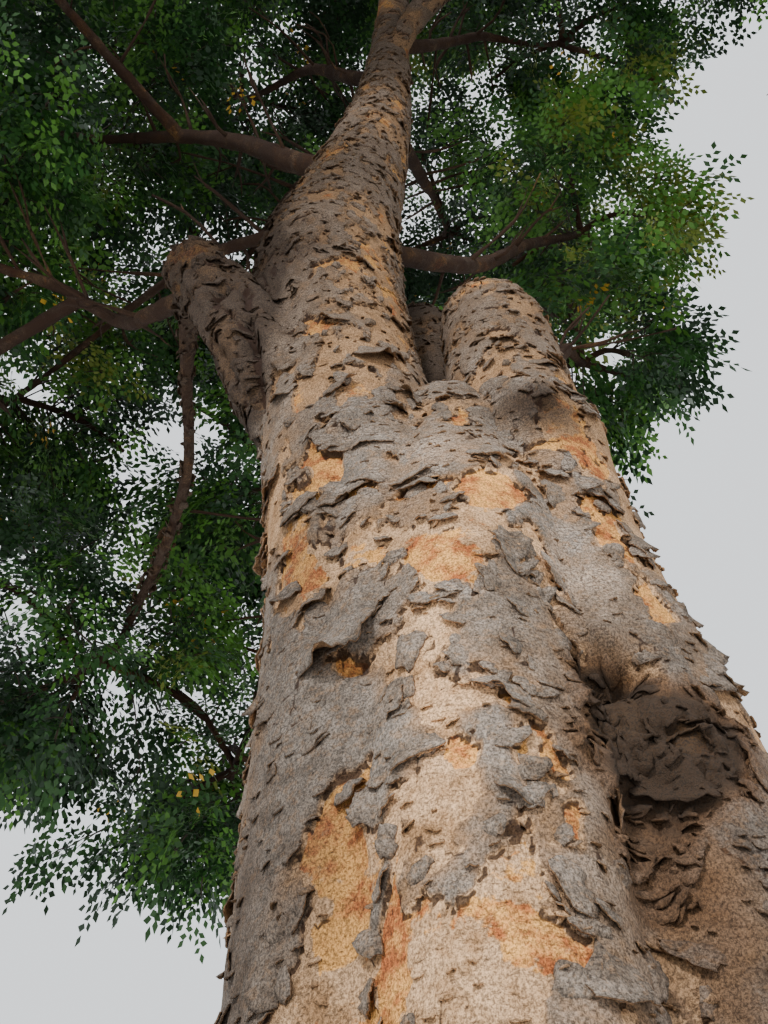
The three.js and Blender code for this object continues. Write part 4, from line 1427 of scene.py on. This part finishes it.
def inside(mass, masses, limb_places, points):
    """Which points lie in the mass's own space, within its reach and clear of the limbs."""
    own = mass.share(points)
    keep = clear_of(points, limb_places, CLEARANCE) & (own < MASS_EDGE)
    for other in masses:
        if other is not mass:
            keep &= other.share(points) > own - OVERLAP
    low, high = (np.array(corner) for corner in CAD_BOX)
    return keep & ((points > low) & (points < high)).all(axis=1)


def side_twigs(feet, ends, rng):
    """Side twigs on each twig, left and right of it by turns."""
    starts, tips = [], []
    onward = ends - feet
    length = np.linalg.norm(onward, axis=1, keepdims=True)
    flat = unit(np.cross(UP, onward))
    for k, share in enumerate(TWIG_SPREAD):
        side = np.where((np.arange(len(feet)) + k) % 2, 1.0, -1.0)[:, None]
        way = unit(onward) * 0.75 + flat * side * 0.75 + rng.normal(0, 0.3, feet.shape)
        start = along_twig(feet, ends, share)
        starts.append(start)
        tips.append(start + unit(way) * length * rng.uniform(*SIDE_TWIG, (len(feet), 1)))
    return np.vstack(starts), np.vstack(tips)


def along_twig(foot, end, share):
    """The place a share of the way along a twig that arches a little."""
    length = np.linalg.norm(end - foot, axis=-1, keepdims=True)
    return foot + (end - foot) * share + UP * (length * 0.36 * share * (1 - share))


def leaves_of(feet, ends, rng, settings):
    """Where each leaf starts, the way it points, the way it faces, its size, its form and its green."""
    rows = []
    for foot, end in zip(feet, ends):
        length = np.linalg.norm(end - foot)
        count = max(int(length * 0.85 / settings.spacing), 3)
        share = np.linspace(0.18, 1, count)[:, None]
        line = along_twig(foot, end, share)
        onward = unit(end - foot)
        flat = unit(np.cross(UP, onward) + rng.normal(0, 0.3, 3))
        side = np.where(np.arange(count) % 2, 1.0, -1.0)[:, None]
        angle = rng.uniform(0.5, 1.3, (count, 1))
        angle[-1] = 0.1
        spray = onward * np.cos(angle) + flat * side * np.sin(angle)
        way = unit(spray + rng.normal(0, 0.4, (count, 3)) - UP * 0.15)
        face = flat_to(UP + rng.normal(0, 0.25) * flat + rng.normal(0, 0.45, (count, 3)), way)
        rows.append((line, way, face, rng.uniform(0.75, 1.15, count), rng.integers(LEAF_FORMS, size=count),
                     np.full(count, rng.random())))
    return [np.concatenate(column) for column in zip(*rows)]


def green_of(places, twig, rng):
    """The green of each leaf, dealt out by bough, by twig and by leaf, with painted light and shade."""
    bough = (cloud(places, 1.5, 93, 3) - 0.5) * 1.5
    for middle, reach, amount in LEAF_LIGHT_AND_SHADE:
        bough += amount * np.exp(-apart(places, middle, (reach, reach)))
    mixed = 0.5 + bough + 0.42 * (twig - 0.5) + 0.42 * (rng.random(len(places)) - 0.5)
    rank = np.argsort(np.argsort(mixed)) / len(mixed)
    greens = np.searchsorted(list(GREENS.values()), rank)
    return np.where(rng.random(len(places)) < YELLOW_SHARE[0], list(GREENS).index("yellow"), greens)


def place_leaves(forms, starts, ways, faces, sizes, kinds, greens):
    """Every leaf as one array of vertices, one of faces and one of greens."""
    template = np.stack([form[0] for form in forms])[kinds]
    corners = forms[0][1]
    scaled = template * sizes[:, None, None]
    x, y, z = scaled[..., 0:1], scaled[..., 1:2], scaled[..., 2:3]
    points = starts[:, None] + x * ways[:, None] + y * np.cross(faces, ways)[:, None] + z * faces[:, None]
    points[..., 2] -= 1.1 * x[..., 0] ** 2
    shift = np.arange(len(starts))[:, None, None] * template.shape[1]
    quads = (corners[None] + shift).reshape(-1, 4)
    tints = np.repeat(greens, len(corners))
    names = list(GREENS)
    luck = scatter(points[:, ::4] / MM, 3).ravel()
    still_green = (tints == names.index("yellow")) & (luck > YELLOW_SHARE[1])
    return points.reshape(-1, 3), quads, np.where(still_green, names.index("green"), tints)


class TREE_OT_camera(bpy.types.Operator):
    """Adds the camera where the photograph was taken from"""

    bl_idname = "brazilwood.camera"
    bl_label = "Camera"

    def execute(self, context):
        data = bpy.data.cameras.new("camera")
        data.sensor_width = SENSOR
        data.lens = FOCAL_PIXELS * SENSOR / max(PHOTO_SIZE)
        data.clip_start = 0.05
        data.clip_end = 500
        camera = bpy.data.objects.new("camera", data)
        camera.location = EYE
        camera.rotation_euler = (math.radians(90 + EYE_PITCH), 0, 0)
        context.scene.collection.objects.link(camera)
        context.scene.camera = camera
        return {"FINISHED"}


class TREE_OT_bark(bpy.types.Operator):
    """Makes the bark of the trunk and the great boughs, with its plates and lifted flakes"""

    bl_idname = "brazilwood.bark"
    bl_label = "Bark"

    def execute(self, context):
        settings = context.scene.brazilwood_bark
        material = flaking_bark(settings)
        smooth, outward, points, normals, faces, fields = make_bark(settings)
        heights = points[faces, 2].mean(axis=1)
        add_bark_pieces(BARK_PIECES, heights, points, faces, fields, material, normals)
        rng = np.random.default_rng(BARK_SEED)
        skin = BVHTree.FromPolygons(smooth.tolist(), faces.tolist())
        kinds = seeded_scales(smooth, outward, fields, skin, settings, rng)
        kinds.append(placed_plates(skin, settings, rng))
        add_scales(kinds, material)
        return {"FINISHED"}


def spurs(limb, rng):
    """Short bare twigs along a limb, each with a fork."""
    grown = []
    for k in range(SPURS):
        share = 0.25 + 0.7 * (k + rng.uniform(0, 0.8)) / SPURS
        foot = limb.at(share)
        ahead = limb.heading(share)
        side = unit(np.cross(ahead, UP)) * (1 if k % 2 else -1)
        way = unit(ahead * rng.uniform(0.3, 1.1) + side + UP * rng.uniform(-0.3, 0.9))
        length = rng.uniform(*SPUR_LENGTHS)
        tip = foot[:3] + way * length
        middle = (foot[:3] + tip) / 2 + rng.normal(0, 0.04, 3)
        thick = min(foot[3] * 0.35, 0.012)
        grown.append(((foot[:3], middle, tip), thick))
        turned = unit(way + side * rng.uniform(-1, 1) + UP * rng.uniform(-0.2, 0.8))
        end = middle + turned * length * 0.5
        grown.append(((middle, (middle + end) / 2 + rng.normal(0, 0.02, 3), end), thick * 0.6))
    tubes = []
    for path, thick in grown:
        radii = [thick * taper / MM for taper in SPUR_TAPER]
        tubes.append(tube(limb_through(np.array(path) / MM, radii), *SPUR_TUBE))
    return tubes


class TREE_OT_limbs(bpy.types.Operator):
    """Makes the limbs that carry the foliage, and the stems and branches inside it"""

    bl_idname = "brazilwood.limbs"
    bl_label = "Limbs and branches"

    def execute(self, context):
        limbs, masses = grow_tree()
        rng = np.random.default_rng(LIMB_SEED)
        parts, nodes = [], []
        for mass in masses:
            if mass.limb.endswith("_limb") and mass.limb not in nodes:
                parts.append(tube(limbs[mass.limb], *LIMB_TUBE))
                parts += spurs(limbs[mass.limb], rng)
                nodes.append(mass.limb)
            parts.append(tube(mass.stem, *STEM_TUBE))
            parts += [tube(branch, *BRANCH_TUBE) for branch in mass.branches]
        vertices, faces = join(parts)
        rough = add_mesh("rough_limbs", vertices, faces)
        normals = normals_of(rough.data, vertices)
        bpy.data.objects.remove(rough)
        points = vertices + normals * lumps(vertices, LIMB_LUMPS)[:, None]
        # Painted shade: the limbs inside the crown are darkened in colour, as well as weathered
        piece = add_mesh("limbs_bark", points, faces, {
            "age": plate_age(points, *LIMB_PLATES)[0],
            "painted_shade": 0.32 + 0.5 * cloud(points, 0.08, 92, 4),
            "stain": np.zeros(len(points)),
            "weather_and_shade": 0.95 + 0.4 * (cloud(points, 0.3, 95, 3) - 0.5),
        })
        dress(piece, "upper_bark", [bpy.data.materials["flaking_bark"]], *nodes)
        return {"FINISHED"}


class TREE_OT_foliage(bpy.types.Operator):
    """Grows fine twigs and leaves through every mass of foliage"""

    bl_idname = "brazilwood.foliage"
    bl_label = "Foliage"

    def execute(self, context):
        settings = context.scene.brazilwood_leaves
        limbs, masses = grow_tree()
        places = np.vstack([limb.at(np.linspace(0, 1, int(limb.length / 0.06))) for limb in limbs.values()])
        rng = np.random.default_rng(LEAF_SEED)
        forms = [leaf_form(settings, rng) for _ in range(LEAF_FORMS)]
        by_mass, twigs = {}, []
        for mass in masses:
            feet, ends = grow_twigs(mass, masses, places, settings)
            starts, tips = side_twigs(feet, ends, rng)
            keep = inside(mass, masses, places, tips)
            feet, ends = np.vstack([feet, starts[keep]]), np.vstack([ends, tips[keep]])
            long = np.linalg.norm(ends - feet, axis=1) > SHORTEST_TWIG
            feet, ends = feet[long], ends[long]
            by_mass[mass.name] = leaves_of(feet, ends, rng, settings)
            for foot, end in zip(feet, ends):
                path = [(*(along_twig(foot, end, share) / MM), radius) for share, radius in TWIG_RADII]
                twigs.append(tube(Limb(path), TWIG_SIDES, np.linalg.norm(end - foot) / 3))
        every = [np.concatenate(column) for column in zip(*by_mass.values())]
        greens = green_of(every[0], every[5], rng)
        counts = {name: len(row[0]) for name, row in by_mass.items()}
        ends = dict(zip(counts, np.cumsum(list(counts.values()))))
        materials = leaf_materials(settings)
        for piece_name, names in LEAF_GROUPS.items():
            chosen = np.concatenate([np.arange(ends[name] - counts[name], ends[name]) for name in names])
            leaves = (row[chosen] for row in every[:5])
            vertices, quads, kinds = place_leaves(forms, *leaves, greens[chosen])
            piece = add_mesh(piece_name, vertices, quads, kinds=kinds)
            dress(piece, "foliage", materials, *(f"{name}_foliage" for name in names))
        piece = add_mesh("twigs", *join(twigs))
        dress(piece, "foliage", [twig_bark(settings)])
        return {"FINISHED"}


class TREE_OT_stage(bpy.types.Operator):
    """Adds the pale floor, the backdrop and soft studio light"""

    bl_idname = "brazilwood.stage"
    bl_label = "Floor and light"

    def execute(self, context):
        settings = context.scene.brazilwood_stage
        turns = np.arange(FLOOR_SIDES) * math.tau / FLOOR_SIDES
        ring = np.stack([np.cos(turns), np.sin(turns), np.zeros(FLOOR_SIDES)], axis=1) * FLOOR_RADIUS
        floor = add_mesh("floor", ring, np.arange(FLOOR_SIDES)[None])
        # Matt painted board: an even, pale ground with no reflection
        material, _, shader = new_material("matte_floor")
        shader.inputs["Base Color"].default_value = opaque(settings.floor)
        shader.inputs["Roughness"].default_value = 0.9
        floor.data.materials.append(material)
        world = bpy.data.worlds.new("backdrop")
        world.use_nodes = True
        background = world.node_tree.nodes["Background"]
        background.inputs["Color"].default_value = opaque(settings.sky)
        background.inputs["Strength"].default_value = settings.sky_strength
        context.scene.world = world
        for name, way, strength, angle in LIGHTS:
            data = bpy.data.lights.new(name, "SUN")
            data.energy = settings.sun * strength
            data.angle = math.radians(angle)
            light = bpy.data.objects.new(name, data)
            light.rotation_euler = Vector(way).to_track_quat("-Z", "Y").to_euler()
            context.scene.collection.objects.link(light)
        return {"FINISHED"}


class TREE_PT_panel(bpy.types.Panel):
    """Lists the steps that dress the tree"""

    bl_idname = "TREE_PT_panel"
    bl_label = "Brazilwood Tree"
    bl_space_type = "VIEW_3D"
    bl_region_type = "UI"
    bl_category = "Tree"

    def draw(self, context):
        for kind in OPERATORS:
            self.layout.operator(kind.bl_idname)


OPERATORS = (TREE_OT_camera, TREE_OT_stage, TREE_OT_bark, TREE_OT_limbs, TREE_OT_foliage)
GROUPS = {
    "brazilwood_bark": BarkSettings,
    "brazilwood_leaves": LeafSettings,
    "brazilwood_stage": StageSettings,
}


def register():
    for kind in (*GROUPS.values(), *OPERATORS, TREE_PT_panel):
        bpy.utils.register_class(kind)
    for name, kind in GROUPS.items():
        setattr(bpy.types.Scene, name, PointerProperty(type=kind))


def unregister():
    for name in GROUPS:
        delattr(bpy.types.Scene, name)
    for kind in (TREE_PT_panel, *reversed(OPERATORS), *reversed(GROUPS.values())):
        bpy.utils.unregister_class(kind)


def main():
    register()
    for name in ("camera", "stage", "bark", "limbs", "foliage"):
        getattr(bpy.ops.brazilwood, name)()


if __name__ == "__main__":
    main()
